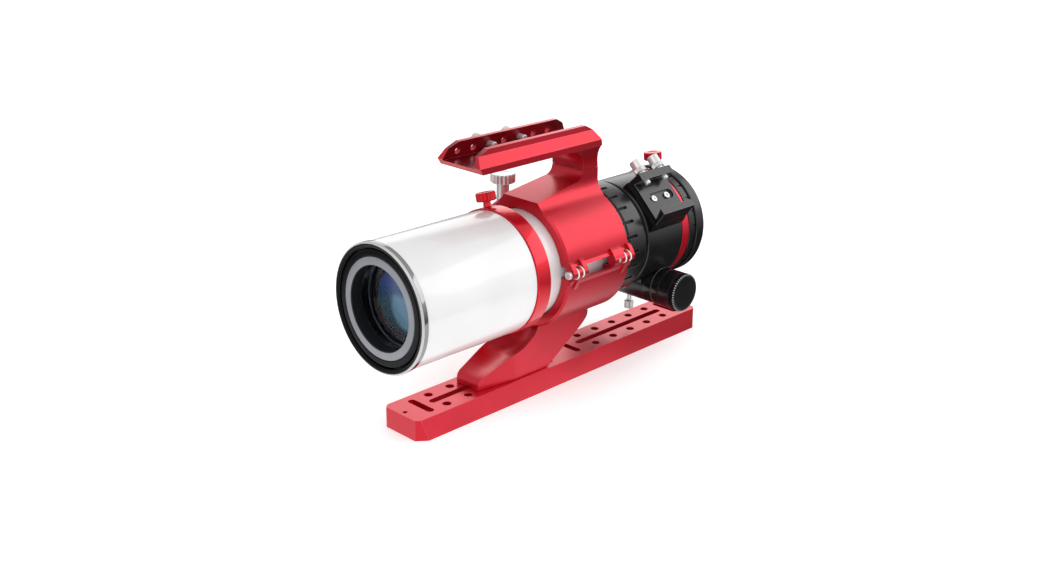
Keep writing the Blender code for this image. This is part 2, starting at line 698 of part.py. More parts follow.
def focuser_solid():
    """The body ring, with the finder pad and the pinion housing rooted in the middle of its wall."""
    ring = [(36.0, 38.0), (39.6, 38.0), (39.6, 54.0), (41.0, 54.0), (41.5, 54.5), (41.5, 59.5)]
    ring += [(43.0, 59.5), (FOCUSER_OUTER, 60.0), (FOCUSER_OUTER, FOCUSER_REAR)]
    ring += [(FOCUSER_BORE, FOCUSER_REAR), (FOCUSER_BORE, 56.0), (36.0, 55.6)]
    body = turned("focuser_body", "black_anodised", ring)
    pad_outline = [(-20.0, 45.2), (20.5, 45.2), (22.0, 40.0)] + arc((0, 0), ROOT_RADIUS, 56.0, 120.0, 8)
    pad = prism("pad", "black_anodised", pad_outline, 61.0, 101.4, in_shoe)
    root = arc((0, AXIS_Z), ROOT_RADIUS, -52.0, -128.0, 8)
    block_outline = [(-24.3, 58.5), (24.3, 58.5)] + root
    block = prism("block", "black_anodised", block_outline, 75.6, 101.4, in_xz)
    disc = arc((PINION_Y, PINION_Z), HOUSING_RADIUS, 168.0, 372.0, 26)
    housing = prism("housing", "black_anodised", disc, -25.0, 25.0, in_yz)
    carve(housing, [hole(FOCUSER_OUTER + 0.5, TUBE_AXIS, ALONG_Y, FOCUSER_REAR - 0.3, 112.0, 36)])
    return fuse(body, [pad, block, housing])


def focuser_body():
    body = focuser_solid()
    centre = (0.0, PINION_Y, PINION_Z)
    groove = [(-4.4, 61.2), (4.4, 61.2), (4.4, 70.0), (-4.4, 70.0)]
    cuts = [prism("groove", "dark_steel", groove, 56.5, 104.0, in_xz)]
    cuts.append(hole(6.4, centre, ALONG_X, -4.7, 4.7, 24))
    cuts.append(hole(2.8, centre, ALONG_X, -30.0, 30.0, 16))
    cuts.append(hole(2.3, (0.0, PINION_Y, 0.0), ALONG_Z, 30.0, 48.5, 16))
    for y in SHOE_SCREW_Y:
        cuts.append(hole(1.8, (0.0, y, AXIS_Z), shoe_axis(0.0, 1.0), 39.5, 60.0, 12))
    settle(carve(body, cuts), TUBE_AXIS)


def finder_shoe():
    outline = [(-20.0, 45.5), (20.4, 45.5), (18.6, SHOE_TOP), (12.9, SHOE_TOP), (17.0, SHOE_FLOOR)]
    outline += [(-15.5, SHOE_FLOOR), (-13.5, SHOE_TOP), (-20.0, SHOE_TOP)]
    shoe = prism("finder_shoe", "black_anodised", outline, 63.0, 101.0, in_shoe)
    recess = slot_outline(9.8, 4.1, (-0.5, 83.8), True)
    sections = [[in_shoe(t, h, y) for t, y in recess] for h in (47.2, 52.0)]
    cuts = [loft("recess", "dark_steel", sections)]
    for y in SHOE_SCREW_Y:
        cuts.append(hole(1.9, (0.0, y, AXIS_Z), shoe_axis(0.0, 1.0), 44.0, 50.0, 12))
    for y in THUMB_Y:
        place = Vector(shoe_point(0.0, THUMB_HEIGHT)) + Vector((0.0, y, 0.0))
        cuts.append(hole(2.7, place, shoe_axis(-1.0, 0.0), 10.0, 24.0, 16))
    settle(carve(shoe, cuts), TUBE_AXIS)


def finder_screws():
    for number, y in enumerate(SHOE_SCREW_Y, start=1):
        profile = [(0, 40.0), (1.5, 40.0), (1.5, 47.5), (2.7, 47.5), (2.7, 48.7), (0, 48.7)]
        centre = (0.0, y, AXIS_Z)
        screw = turned(
            f"finder_shoe_screw_{number}", "bright_steel", profile, centre, shoe_axis(0.0, 1.0), segments=16
        )
        settle(screw, TUBE_AXIS)
    sideways = shoe_axis(-1.0, 0.0)
    for number, y in enumerate(THUMB_Y, start=1):
        profile = [(0, 10.8), (2.4, 10.8), (2.4, 20.3), (3.3, 20.3), (3.3, 21.6), (4.4, 21.6), (4.9, 22.1)]
        profile += [(4.9, 32.0), (4.4, 32.5), (0, 32.5)]
        centre = Vector(shoe_point(0.0, THUMB_HEIGHT)) + Vector((0.0, y, 0.0))
        screw = turned(
            f"finder_thumbscrew_{number}", "bright_steel", profile, centre, sideways, segments=24
        )
        settle(screw, centre)


def stripe_ring():
    ring = tube("focuser_stripe_ring", "red_anodised", FOCUSER_OUTER, FOCUSER_BORE, 102.1, 110.2)
    notch = [(-4.4, 61.2), (4.4, 61.2), (4.4, 70.0), (-4.4, 70.0)]
    settle(carve(ring, [prism("notch", "dark_steel", notch, 100.0, 112.0, in_xz)]), TUBE_AXIS)


def gear_outline(teeth, module):
    """A plain gear outline: each tooth is four points, at its root and at its tip."""
    pitch = teeth * module / 2
    root = pitch - 1.15 * module
    tip = pitch + 0.85 * module
    points = []
    for i in range(teeth):
        middle = 2.0 * pi * (i + 0.5) / teeth
        spread = pi / teeth
        for radius, offset in ((root, -0.62), (tip, -0.26), (tip, 0.26), (root, 0.62)):
            angle = middle + offset * spread
            points.append((PINION_Y + radius * cos(angle), PINION_Z + radius * sin(angle)))
    return points


def pinion():
    centre = (0.0, PINION_Y, PINION_Z)
    module = 2.0 * PINION_PITCH / PINION_TEETH
    shaft = prism("pinion_shaft", "bright_steel", gear_outline(PINION_TEETH, module), -4.0, 4.0, in_yz)
    fuse(shaft, [rod("axle", "bright_steel", 2.5, -50.0, 50.0, centre=centre, axis=ALONG_X, segments=16)])
    settle(shaft, centre)


def rack():
    """A toothed strip under the draw tube, with a tooth straight above the pinion's axis."""
    step = 2.0 * pi * PINION_PITCH / PINION_TEETH
    module = 2.0 * PINION_PITCH / PINION_TEETH
    pitch_z = PINION_Z + PINION_PITCH
    tip_z = pitch_z - 0.85 * module
    root_z = pitch_z + 1.15 * module
    teeth = 14
    first = PINION_Y - step * (teeth - 1.5)
    points = [(first, 65.4), (first, root_z)]
    for i in range(teeth):
        middle = first + step * (i + 0.5)
        spread = step / 2
        for z, offset in ((root_z, -0.62), (tip_z, -0.26), (tip_z, 0.26), (root_z, 0.62)):
            points.append((middle + offset * spread, z))
    points += [(first + step * teeth, root_z), (first + step * teeth, 65.4)]
    settle(prism("rack", "bright_steel", points, -4.0, 4.0, in_yz), TUBE_AXIS)


def focus_knobs():
    centre = (0.0, PINION_Y, PINION_Z)
    for name, low in (("pinion_bearing_right", 25.3), ("reduction_gearbox", -41.7)):
        place = {"centre": centre, "axis": ALONG_X, "segments": 28}
        part = tube(name, "black_anodised", HOUSING_RADIUS, 2.8, low, low + 16.4, **place)
        carve(part, [hole(FOCUSER_OUTER + 0.5, TUBE_AXIS, ALONG_Y, 60.0, 120.0, 36)])
        settle(part, TUBE_AXIS)
    right = [(0, 50.3), (2.8, 50.3), (2.8, 42.0), (14.9, 42.0), (15.65, 42.8), (15.65, 57.0)]
    right += [(14.9, 57.8), (0, 57.8)]
    left = [(0, -50.3), (2.8, -50.3), (2.8, -42.0), (14.9, -42.0), (15.65, -42.8), (15.65, -53.2)]
    left += [(14.9, -54.0), (2.6, -54.0), (2.6, -51.2), (0, -51.2)]
    fine = [(0, -51.5), (2.2, -51.5), (2.2, -54.4), (9.0, -54.4), (9.5, -54.9)]
    fine += [(9.5, -62.0), (9.0, -62.5), (0, -62.5)]
    for name, profile in (("coarse_knob_right", right), ("coarse_knob_left", left), ("fine_knob", fine)):
        settle(turned(name, "black_anodised", profile, centre, ALONG_X, segments=32), centre)


def focus_lock_screw():
    profile = [(0, 29.5), (3.5, 29.5), (3.9, 29.9), (3.9, 35.9), (3.5, 36.3)]
    profile += [(2.0, 36.3), (2.0, 48.0), (0, 48.0)]
    centre = (0.0, PINION_Y, 0.0)
    screw = turned("focus_lock_screw", "bright_steel", profile, centre, ALONG_Z, segments=20)
    settle(screw, (0.0, PINION_Y, 42.0))


def rear_rings():
    settle(tube("camera_rotator_ring", "black_anodised", 44.0, DRAW_OUTER + GAP, 110.5, 118.0), TUBE_AXIS)
    profile = [(35.3, 118.3), (44.8, 118.3), (45.3, 118.8), (45.3, 126.4), (43.2, 129.9), (27.0, 129.9)]
    profile += [(27.0, 121.0), (35.3, 121.0)]
    ring = turned("rear_adapter_ring", "black_anodised", profile)
    screw_hole = hole(2.3, (0.0, ROTATOR_SCREW_Y, AXIS_Z), leaning(ROTATOR_SCREW_LEAN), 37.5, 52.0)
    settle(carve(ring, [screw_hole]), TUBE_AXIS)


def focuser():
    settle(tube("rotation_lock_ring", "black_anodised", 45.5, 42.4, 28.5, 54.0), TUBE_AXIS)
    settle(tube("tube_rear_flange", "black_anodised", TUBE_OUTER, 39.9, 30.3, 53.5))
    focuser_body()
    stripe_ring()
    finder_shoe()
    finder_screws()
    pinion()
    focus_knobs()
    focus_lock_screw()
    settle(tube("drawtube", "bright_steel", DRAW_OUTER, DRAW_INNER, 60.0, 120.5), TUBE_AXIS)
    rack()
    rear_rings()


def main():
    clear_scene()
    dovetail_plate()
    foot_bolts()
    lower_cradle()
    felt_arc("lower_felt", -179.0, -9.5)
    upper_cradle()
    felt_arc("upper_felt", 12.0, 175.5)
    hinge_hardware()
    handle()
    handle_bolts()
    saddle_screws()
    clamp_knob()
    optical_tube()
    corrector()
    dew_shield()
    red_lock_screw("dew_lock_screw", dew_screw_centre(), dew_screw_axis(), CLAMP_RING_OUTER, 42.8)
    focuser()
    centre = (0.0, ROTATOR_SCREW_Y, AXIS_Z)
    red_lock_screw("rotator_lock_screw", centre, leaning(ROTATOR_SCREW_LEAN), 45.3, 38.0)


main()
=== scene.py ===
import json
from math import atan2, cos, hypot, pi, radians, sin, sqrt

import bmesh
import bpy
from mathutils import Matrix, Vector


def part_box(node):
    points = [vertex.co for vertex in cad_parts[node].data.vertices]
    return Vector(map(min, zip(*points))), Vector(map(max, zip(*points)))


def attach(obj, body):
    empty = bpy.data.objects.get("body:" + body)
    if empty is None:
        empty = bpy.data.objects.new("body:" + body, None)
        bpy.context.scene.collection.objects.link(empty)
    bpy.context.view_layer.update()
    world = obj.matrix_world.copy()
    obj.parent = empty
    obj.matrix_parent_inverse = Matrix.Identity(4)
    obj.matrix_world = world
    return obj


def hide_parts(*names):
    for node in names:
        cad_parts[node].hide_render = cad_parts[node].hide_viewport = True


# A compact refractor in a hinged cradle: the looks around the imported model. Sizes are in
# millimetres and MM turns them into metres; places come from the frame's own boxes.

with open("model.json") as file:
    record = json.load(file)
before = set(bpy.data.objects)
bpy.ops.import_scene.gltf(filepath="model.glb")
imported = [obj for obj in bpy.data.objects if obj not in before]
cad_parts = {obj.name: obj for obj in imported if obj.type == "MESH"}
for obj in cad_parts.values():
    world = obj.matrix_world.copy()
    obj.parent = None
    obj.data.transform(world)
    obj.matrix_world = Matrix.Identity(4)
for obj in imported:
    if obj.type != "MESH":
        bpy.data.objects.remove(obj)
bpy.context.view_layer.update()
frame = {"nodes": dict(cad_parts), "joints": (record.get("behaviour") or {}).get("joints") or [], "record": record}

MM = 0.001
ROUND = 160
SMALL_ROUND = 64
ALONG_X = (1.0, 0.0, 0.0)
ALONG_Y = (0.0, 1.0, 0.0)
ALONG_Z = (0.0, 0.0, 1.0)


def span(node, axis):
    """Lowest and highest coordinate of a CAD node along one axis, in millimetres."""
    low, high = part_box(node)
    return low[axis] / MM, high[axis] / MM


def middle(node, axis):
    low, high = span(node, axis)
    return (low + high) / 2


def half(node, axis):
    low, high = span(node, axis)
    return (high - low) / 2


AXIS_Z = middle("drawtube", 2)
TUBE_AXIS = (0.0, 0.0, AXIS_Z)
TUBE_RADIUS = half("main_tube", 0)
PLATE_TOP = span("dovetail_plate", 2)[1]
CRADLE_FRONT, CRADLE_REAR = span("upper_cradle", 1)
PINION_Y = middle("coarse_knob_right", 1)
PINION_Z = middle("coarse_knob_right", 2)
PINION = (0.0, PINION_Y, PINION_Z)
HINGE_Z = middle("hinge_pin_front", 2)
HINGE = (middle("hinge_pin_front", 0), 0.0, HINGE_Z)
CLAMP = (middle("clamp_knob", 0), middle("clamp_knob", 1), 0.0)
JOINTS = {j["name"]: ([v / MM for v in j["pos_m"]], j["axis"]) for j in frame["joints"] if "pos_m" in j}
BODY_OF = {node: body for body, nodes in frame["record"]["behaviour"]["bodies"].items() for node in nodes}


# --- Materials ---


def link(tree, source, output, target, socket):
    tree.links.new(source.outputs[output], target.inputs[socket])


def set_inputs(node, values):
    """Set a node's inputs; an underscore in a name stands for a space."""
    for socket, value in values.items():
        node.inputs[socket.replace("_", " ")].default_value = value


def add(tree, kind, links=(), operation=None, **values):
    """A shader node with its links, as (source, output, socket), and its input values."""
    made = tree.nodes.new("ShaderNode" + kind)
    if operation:
        made.operation = operation
    set_inputs(made, values)
    for source, output, socket in links:
        link(tree, source, output, made, socket)
    return made


def empty_look(name):
    made = bpy.data.materials.new(name)
    made.use_nodes = True
    tree = made.node_tree
    return made, tree, tree.nodes["Principled BSDF"]


def noise(tree, coords, scale, detail, stretch=(1.0, 1.0, 1.0)):
    mapping = add(tree, "Mapping", [(coords, "Object", "Vector")], Scale=stretch)
    return add(tree, "TexNoise", [(mapping, "Vector", "Vector")], Scale=scale, Detail=detail)


DRIFT_SCALE = 26.0


def surface(name, dark, light, rough, metallic, grain, depth, stretch=(1.0, 1.0, 1.0), **sockets):
    """A finish whose colour drifts between two shades, with grain in its roughness and bump."""
    made, tree, shader = empty_look(name)
    coords = add(tree, "TexCoord")
    drift = noise(tree, coords, DRIFT_SCALE, 2.0)
    ramp = add(tree, "ValToRGB", [(drift, "Fac", "Fac")])
    for element, place, colour in zip(ramp.color_ramp.elements, (0.35, 0.65), (dark, light)):
        element.position = place
        element.color = (*colour, 1.0)
    link(tree, ramp, "Color", shader, "Base Color")
    fine = noise(tree, coords, grain, 3.0, stretch)
    spread = add(tree, "MapRange", [(fine, "Fac", "Value")], To_Min=rough[0], To_Max=rough[1])
    link(tree, spread, "Result", shader, "Roughness")
    bump = add(tree, "Bump", [(fine, "Fac", "Height")], Strength=1.0, Distance=depth)
    link(tree, bump, "Normal", shader, "Normal")
    shader.inputs["Metallic"].default_value = metallic
    set_inputs(shader, sockets)
    return made


TURNED = (0.12, 1.0, 0.12)
LOOKS = {
    "red": surface(
        "red_anodised_satin", (0.54, 0.0, 0.014), (0.63, 0.0, 0.021), (0.34, 0.42), 0.75, 2600.0, 4e-6,
        Coat_Weight=0.5, Coat_Roughness=0.24, Coat_IOR=1.5,
    ),
    "red_turned": surface(
        "red_anodised_turned", (0.70, 0.0, 0.016), (0.80, 0.001, 0.022), (0.30, 0.38), 0.7, 3200.0,
        3e-6, TURNED, Coat_Weight=0.55, Coat_Roughness=0.06, Coat_IOR=1.5,
    ),
    # Painted shade: a darker red for the handle's channel, standing for the shade inside it.
    "red_deep": surface(
        "red_anodised_deep", (0.24, 0.0, 0.008), (0.30, 0.0, 0.012), (0.34, 0.42), 0.75, 2600.0, 4e-6,
        Coat_Weight=0.2, Coat_Roughness=0.24, Coat_IOR=1.5,
    ),
    # Painted highlight: a lighter pink for the bevels on red pieces.
    "red_edge": surface(
        "red_cut_edge", (0.80, 0.20, 0.24), (0.88, 0.26, 0.30), (0.3, 0.4), 0.3, 2600.0, 1e-6,
    ),
    "white": surface(
        "white_gloss_paint", (0.77, 0.77, 0.775), (0.81, 0.81, 0.815), (0.20, 0.26), 0.0, 900.0, 4e-6,
        Coat_Weight=0.5, Coat_Roughness=0.06,
    ),
    "black": surface(
        "black_anodised_satin", (0.004, 0.004, 0.005), (0.008, 0.008, 0.009), (0.24, 0.32), 0.0, 3000.0,
        3e-6, Coat_Weight=0.15, Coat_Roughness=0.2,
    ),
    "black_turned": surface(
        "black_anodised_turned", (0.005, 0.005, 0.006), (0.009, 0.009, 0.010), (0.16, 0.24), 0.0, 3200.0,
        3e-6, TURNED, Coat_Weight=0.2, Coat_Roughness=0.08,
    ),
    "deep_black": surface(
        "deep_black_anodised", (0.003, 0.003, 0.004), (0.006, 0.006, 0.007), (0.2, 0.28), 0.0, 3000.0,
        3e-6, IOR=1.22,
    ),
    "matt_black": surface(
        "matt_black_baffle", (0.003, 0.004, 0.006), (0.006, 0.007, 0.010), (0.5, 0.65), 0.0, 2500.0, 1e-5,
    ),
    "grey_ring": surface(
        "grey_anodised_ring", (0.24, 0.25, 0.275), (0.30, 0.31, 0.335), (0.36, 0.44), 0.3, 3000.0, 3e-6,
    ),
    "steel": surface(
        "bright_turned_steel", (0.70, 0.70, 0.70), (0.78, 0.78, 0.78), (0.26, 0.32), 0.6, 3000.0, 1e-6,
        TURNED,
    ),
    "chrome": surface(
        "polished_trim", (0.26, 0.265, 0.27), (0.34, 0.345, 0.35), (0.08, 0.14), 1.0, 2500.0, 1e-6,
        TURNED,
    ),
    # A bright grey for the cut crests of the coarse knob's teeth, as bare metal and as a painted highlight, and
    # for the trim ring's front rim as a painted highlight.
    "edge": surface(
        "bright_cut_edge", (0.55, 0.55, 0.55), (0.62, 0.62, 0.62), (0.3, 0.4), 0.3, 2500.0, 1e-6,
    ),
    # Painted highlight: a lighter grey for the bevels and fine edges on black pieces.
    "black_edge": surface(
        "black_worn_edge", (0.10, 0.10, 0.105), (0.16, 0.16, 0.165), (0.25, 0.35), 0.4, 2500.0, 1e-6,
    ),
    "dark_steel": surface(
        "dark_oxide_steel", (0.02, 0.02, 0.022), (0.035, 0.035, 0.037), (0.25, 0.35), 0.9, 2500.0, 3e-6,
    ),
    "nylon": surface(
        "white_nylon", (0.80, 0.79, 0.76), (0.86, 0.85, 0.82), (0.42, 0.5), 0.0, 1500.0, 4e-6,
    ),
    "felt": surface(
        "black_felt", (0.006, 0.006, 0.006), (0.016, 0.016, 0.016), (0.9, 1.0), 0.0, 1400.0, 0.0002,
        Sheen_Weight=0.4,
    ),
    "front_glass": surface(
        "clear_coated_glass", (0.88, 0.92, 0.98), (0.92, 0.95, 1.0), (0.0, 0.01), 0.0, 300.0, 0.0,
        IOR=1.12, Transmission_Weight=1.0,
    ),
}
# Bevels on red and black pieces take these lighter looks as a painted highlight.
EDGE_HIGHLIGHT_LOOKS = {"red": "red_edge", "black": "black_edge"}


def disc_mask(tree, coords, centre, radius, soft):
    """1 inside a circle seen along the tube's axis and 0 outside it, in millimetres."""
    away = add(tree, "VectorMath", [(coords, "Object", 0)], "SUBTRACT")
    away.inputs[1].default_value = (centre[0] * MM, 0.0, (AXIS_Z + centre[1]) * MM)
    flat = add(tree, "VectorMath", [(away, "Vector", 0)], "MULTIPLY")
    flat.inputs[1].default_value = (1.0, 0.0, 1.0)
    length = add(tree, "VectorMath", [(flat, "Vector", 0)], "LENGTH")
    limits = {"From_Min": radius * MM, "From_Max": (radius - soft) * MM}
    return add(tree, "MapRange", [(length, "Value", "Value")], **limits), "Result"


def mixed(tree, mask, below, above):
    """Colour below where the mask is 0, above where it is 1: a (node, output) pair or a colour."""
    mix = tree.nodes.new("ShaderNodeMix")
    mix.data_type = "RGBA"
    link(tree, *mask, mix, 0)
    for socket, value in ((6, below), (7, above)):
        if isinstance(value[0], float):
            mix.inputs[socket].default_value = (*value, 1.0)
        else:
            link(tree, *value, mix, socket)
    return mix, 2


# Colours painted on the inner glass: the coatings' reflections as bands by height, and a pale painted reflection
# patch.
GLASS_BANDS = ((0.45, (0.008, 0.07, 0.09, 1.0)), (0.72, (0.022, 0.08, 0.25, 1.0)))
GLASS_PALE_REFLECTION = (0.13, 0.30, 0.37)
GLASS_RIM = (0.002, 0.003, 0.006)
GLASS_LINE = (0.20, 0.008, 0.012)


def deep_glass():
    """The inner group's glass, with painted reflections: bands from teal at the bottom through blue to violet at
    the top, a pale patch below the middle toward +X, and a near-black rim with a thin red line.
    """
    made, tree, shader = empty_look("deep_coated_glass")
    coords = add(tree, "TexCoord")
    split = add(tree, "SeparateXYZ", [(coords, "Object", "Vector")])
    limits = {"From_Min": (AXIS_Z - 24.0) * MM, "From_Max": (AXIS_Z + 24.0) * MM}
    height = add(tree, "MapRange", [(split, "Z", "Value")], **limits)
    bands = add(tree, "ValToRGB", [(height, "Result", "Fac")])
    bands.color_ramp.elements[0].color = (0.004, 0.030, 0.034, 1.0)
    bands.color_ramp.elements[1].color = (0.085, 0.055, 0.26, 1.0)
    for place, colour in GLASS_BANDS:
        bands.color_ramp.elements.new(place).color = colour
    limits = {"From_Min": (AXIS_Z + 7.0) * MM, "From_Max": (AXIS_Z + 2.0) * MM}
    below = add(tree, "MapRange", [(split, "Z", "Value")], **limits)
    disc = disc_mask(tree, coords, (9.0, -3.0), 19.0, 3.5)
    patch = add(tree, "Math", [(below, "Result", 0), (*disc, 1)], "MULTIPLY")
    pale_reflection = mixed(tree, (patch, "Value"), (bands, "Color"), GLASS_PALE_REFLECTION)
    ring_line = mixed(tree, disc_mask(tree, coords, (0.0, 0.0), 26.2, 0.3), GLASS_RIM, GLASS_LINE)
    inside_line = mixed(tree, disc_mask(tree, coords, (0.0, 0.0), 25.5, 0.3), ring_line, GLASS_RIM)
    glass = mixed(tree, disc_mask(tree, coords, (0.0, 0.0), 23.6, 0.8), inside_line, pale_reflection)
    link(tree, *glass, shader, "Base Color")
    set_inputs(shader, {"Roughness": 0.25, "Coat Weight": 0.05, "Coat Roughness": 0.03})
    return made


LOOKS["deep_glass"] = deep_glass()


# --- Shape helpers ---


def new_object(name, data):
    obj = bpy.data.objects.new(name, data)
    bpy.context.scene.collection.objects.link(obj)
    return obj


def object_from(name, bm):
    """An object from a mesh drawn in millimetres."""
    bmesh.ops.recalc_face_normals(bm, faces=bm.faces)
    bm.transform(Matrix.Scale(MM, 4))
    mesh = bpy.data.meshes.new(name)
    bm.to_mesh(mesh)
    bm.free()
    return new_object(name, mesh)


def bridge(bm, first, second, count):
    for i in range(count):
        j = (i + 1) % count
        corners = [first[i % len(first)], first[j % len(first)]]
        corners += [second[j % len(second)], second[i % len(second)]]
        face = list(dict.fromkeys(corners))
        if len(face) > 2:
            bm.faces.new(face)


def axis_frame(axis):
    along = Vector(axis).normalized()
    helper = Vector(ALONG_Z) if abs(along.z) < 0.9 else Vector(ALONG_Y)
    side = along.cross(helper).normalized()
    return side, side.cross(along), along


def eased(points, radius, steps=5, closed=True):
    """Round the corners of an outline; an open outline keeps its two ends."""
    result = []
    count = len(points)
    for i, corner in enumerate(points):
        if not closed and i in (0, count - 1):
            result.append(corner)
            continue
        here = Vector((*corner, 0.0))
        before = Vector((*points[i - 1], 0.0)) - here
        after = Vector((*points[(i + 1) % count], 0.0)) - here
        reach = min(radius, 0.45 * before.length, 0.45 * after.length)
        start = here + before.normalized() * reach
        end = here + after.normalized() * reach
        for k in range(steps + 1):
            t = k / steps
            spot = start * (1 - t) ** 2 + here * 2 * t * (1 - t) + end * t**2
            result.append((spot.x, spot.y))
    return result


def turned(name, profile, centre=TUBE_AXIS, axis=ALONG_Y, segments=ROUND, ease=0.35, wave=None):
    """Spin a profile of (radius, station) points; wave(radius, station, angle) moves a point in or out."""
    closed = profile[0][0] > 0
    side, up, along = axis_frame(axis)
    bm = bmesh.new()
    rows = []
    outline = eased(profile, ease, closed=closed) if ease else profile
    for radius, station in outline:
        foot = Vector(centre) + along * station
        if radius < 0.001:
            rows.append([bm.verts.new(foot)])
            continue
        row = []
        for i in range(segments):
            turn = 2.0 * pi * i / segments
            reach = wave(radius, station, turn) if wave else radius
            row.append(bm.verts.new(foot + (side * cos(turn) + up * sin(turn)) * reach))
        rows.append(row)
    for first, second in zip(rows, rows[1:]):
        bridge(bm, first, second, segments)
    if closed:
        bridge(bm, rows[-1], rows[0], segments)
    return object_from(name, bm)


def loft(name, sections):
    bm = bmesh.new()
    rows = [[bm.verts.new(point) for point in section] for section in sections]
    for first, second in zip(rows, rows[1:]):
        bridge(bm, first, second, len(first))
    bm.faces.new(rows[0])
    bm.faces.new(rows[-1])
    return object_from(name, bm)


def in_xy(u, v, w):
    return (u, v, w)


def in_xz(u, v, w):
    return (u, w, v)


def in_yz(u, v, w):
    return (w, u, v)


def in_shoe(t, h, y):
    """The finder shoe's plane, turned 45 degrees toward +X: t runs down the side, h outwards."""
    return ((t + h) / sqrt(2.0), y, AXIS_Z + (h - t) / sqrt(2.0))


def prism(name, outline, low, high, place=in_xy):
    return loft(name, [[place(u, v, w) for u, v in outline] for w in (low, high)])


def arc(centre, radius, first, last, steps):
    turns = [radians(first + (last - first) * i / steps) for i in range(steps + 1)]
    return [(centre[0] + radius * cos(t), centre[1] + radius * sin(t)) for t in turns]


def slot_outline(half_length, half_width, centre, lengthwise, steps=12):
    ends = arc((half_length, 0), half_width, -90, 90, steps)
    ends += arc((-half_length, 0), half_width, 90, 270, steps)
    if lengthwise:
        return [(centre[0] - v, centre[1] + u) for u, v in ends]
    return [(centre[0] + u, centre[1] + v) for u, v in ends]


def combine(target, tools, operation):
    for tool in tools:
        step = target.modifiers.new(tool.name, "BOOLEAN")
        step.object = tool
        step.operation = operation
        step.solver = "EXACT"
    bpy.context.view_layer.update()
    evaluated = target.evaluated_get(bpy.context.evaluated_depsgraph_get())
    result = bpy.data.meshes.new_from_object(evaluated)
    bm = bmesh.new()
    bm.from_mesh(result)
    bmesh.ops.remove_doubles(bm, verts=bm.verts, dist=0.00001)
    bmesh.ops.dissolve_degenerate(bm, edges=bm.edges, dist=0.00001)
    bm.to_mesh(result)
    bm.free()
    target.modifiers.clear()
    target.data = result
    for tool in tools:
        bpy.data.objects.remove(tool)
    return target


def carve(target, tools):
    return combine(target, tools, "DIFFERENCE")


def fuse(target, tools):
    return combine(target, tools, "UNION")


def hole(radius, centre, axis, low, high, segments=40):
    profile = [(0, low), (radius, low), (radius, high), (0, high)]
    return turned("hole", profile, centre, axis, segments, ease=0)


def countersunk(radius, centre, axis, low, high, mouth=0.4, segments=40):
    """A hole whose outer end, at high, is opened by a small chamfer."""
    profile = [(0, low), (radius, low), (radius, high - mouth), (radius + mouth, high)]
    profile += [(radius + mouth, high + 2.0), (0, high + 2.0)]
    return turned("hole", profile, centre, axis, segments, ease=0)


def hexagon(across, centre, axis, low, high):
    return hole(across / sqrt(3.0), centre, axis, low, high, 6)


def dress(obj, node, look, bevel=0.0, sharp=25.0):
    """Finish a piece: it stands for a CAD node, rides on that node's body, and gets its look; on red and black
    pieces a bevel's faces get a lighter look, a painted highlight.
    """
    obj.name = node + "_detail"
    obj.data.name = obj.name
    obj.data.materials.clear()
    obj.data.materials.append(LOOKS[look])
    obj.data.shade_smooth()
    obj.data.set_sharp_from_angle(angle=radians(sharp))
    if bevel:
        edge = obj.modifiers.new("edge", "BEVEL")
        edge.width = bevel * MM
        edge.segments = 2
        edge.limit_method = "ANGLE"
        edge.angle_limit = radians(sharp)
        edge.harden_normals = True
        # The bevel's faces take the lighter look as a painted highlight.
        edge.material = 1
        obj.data.materials.append(LOOKS[EDGE_HIGHLIGHT_LOOKS.get(look, look)])
        edge.miter_outer = "MITER_ARC"
    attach(obj, BODY_OF[node])
    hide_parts(node)
    return obj


def paint(obj, look, chosen):
    """Give a second look to the faces whose middle, in millimetres, passes a test."""
    obj.data.materials.append(LOOKS[look])
    index = len(obj.data.materials) - 1
    for face in obj.data.polygons:
        if chosen(face.center / MM):
            face.material_index = index


def spun(node, look, profile, *place, **options):
    """A turned piece without cuts that stands for a CAD node."""
    return dress(turned(node, profile, *place, **options), node, look)


def from_axis(point):
    """Distance of a point from the tube's axis."""
    return hypot(point.x, point.z - AXIS_Z)


def flutes(count, depth, low, high, sharpness=1.0):
    """Grooves along a grip between two stations."""

    def wave(radius, station, turn):
        if not low <= station <= high:
            return radius
        return radius - depth * (0.5 - 0.5 * cos(turn * count)) ** sharpness

    return wave


# --- The dovetail plate ---

PLATE_BASE_HALF = half("dovetail_plate", 0)
PLATE_TOP_HALF = 18.65
PLATE_END = span("dovetail_plate", 1)[1]
PLATE_END_HALF = 15.8
PLATE_CORNER = 7.6
PLATE_HOLE = 3.2
PLATE_HOLE_X = 10.2
PLATE_HOLE_STATIONS = [38.3 + 21.3 * i for i in range(5)]


def plate_outline(half_width, end):
    cut = PLATE_CORNER * (half_width - PLATE_END_HALF) / (PLATE_BASE_HALF - PLATE_END_HALF)
    rear = [(half_width, end - cut), (PLATE_END_HALF, end)]
    rear += [(-PLATE_END_HALF, end), (-half_width, end - cut)]
    return rear + [(-x, -y) for x, y in rear]


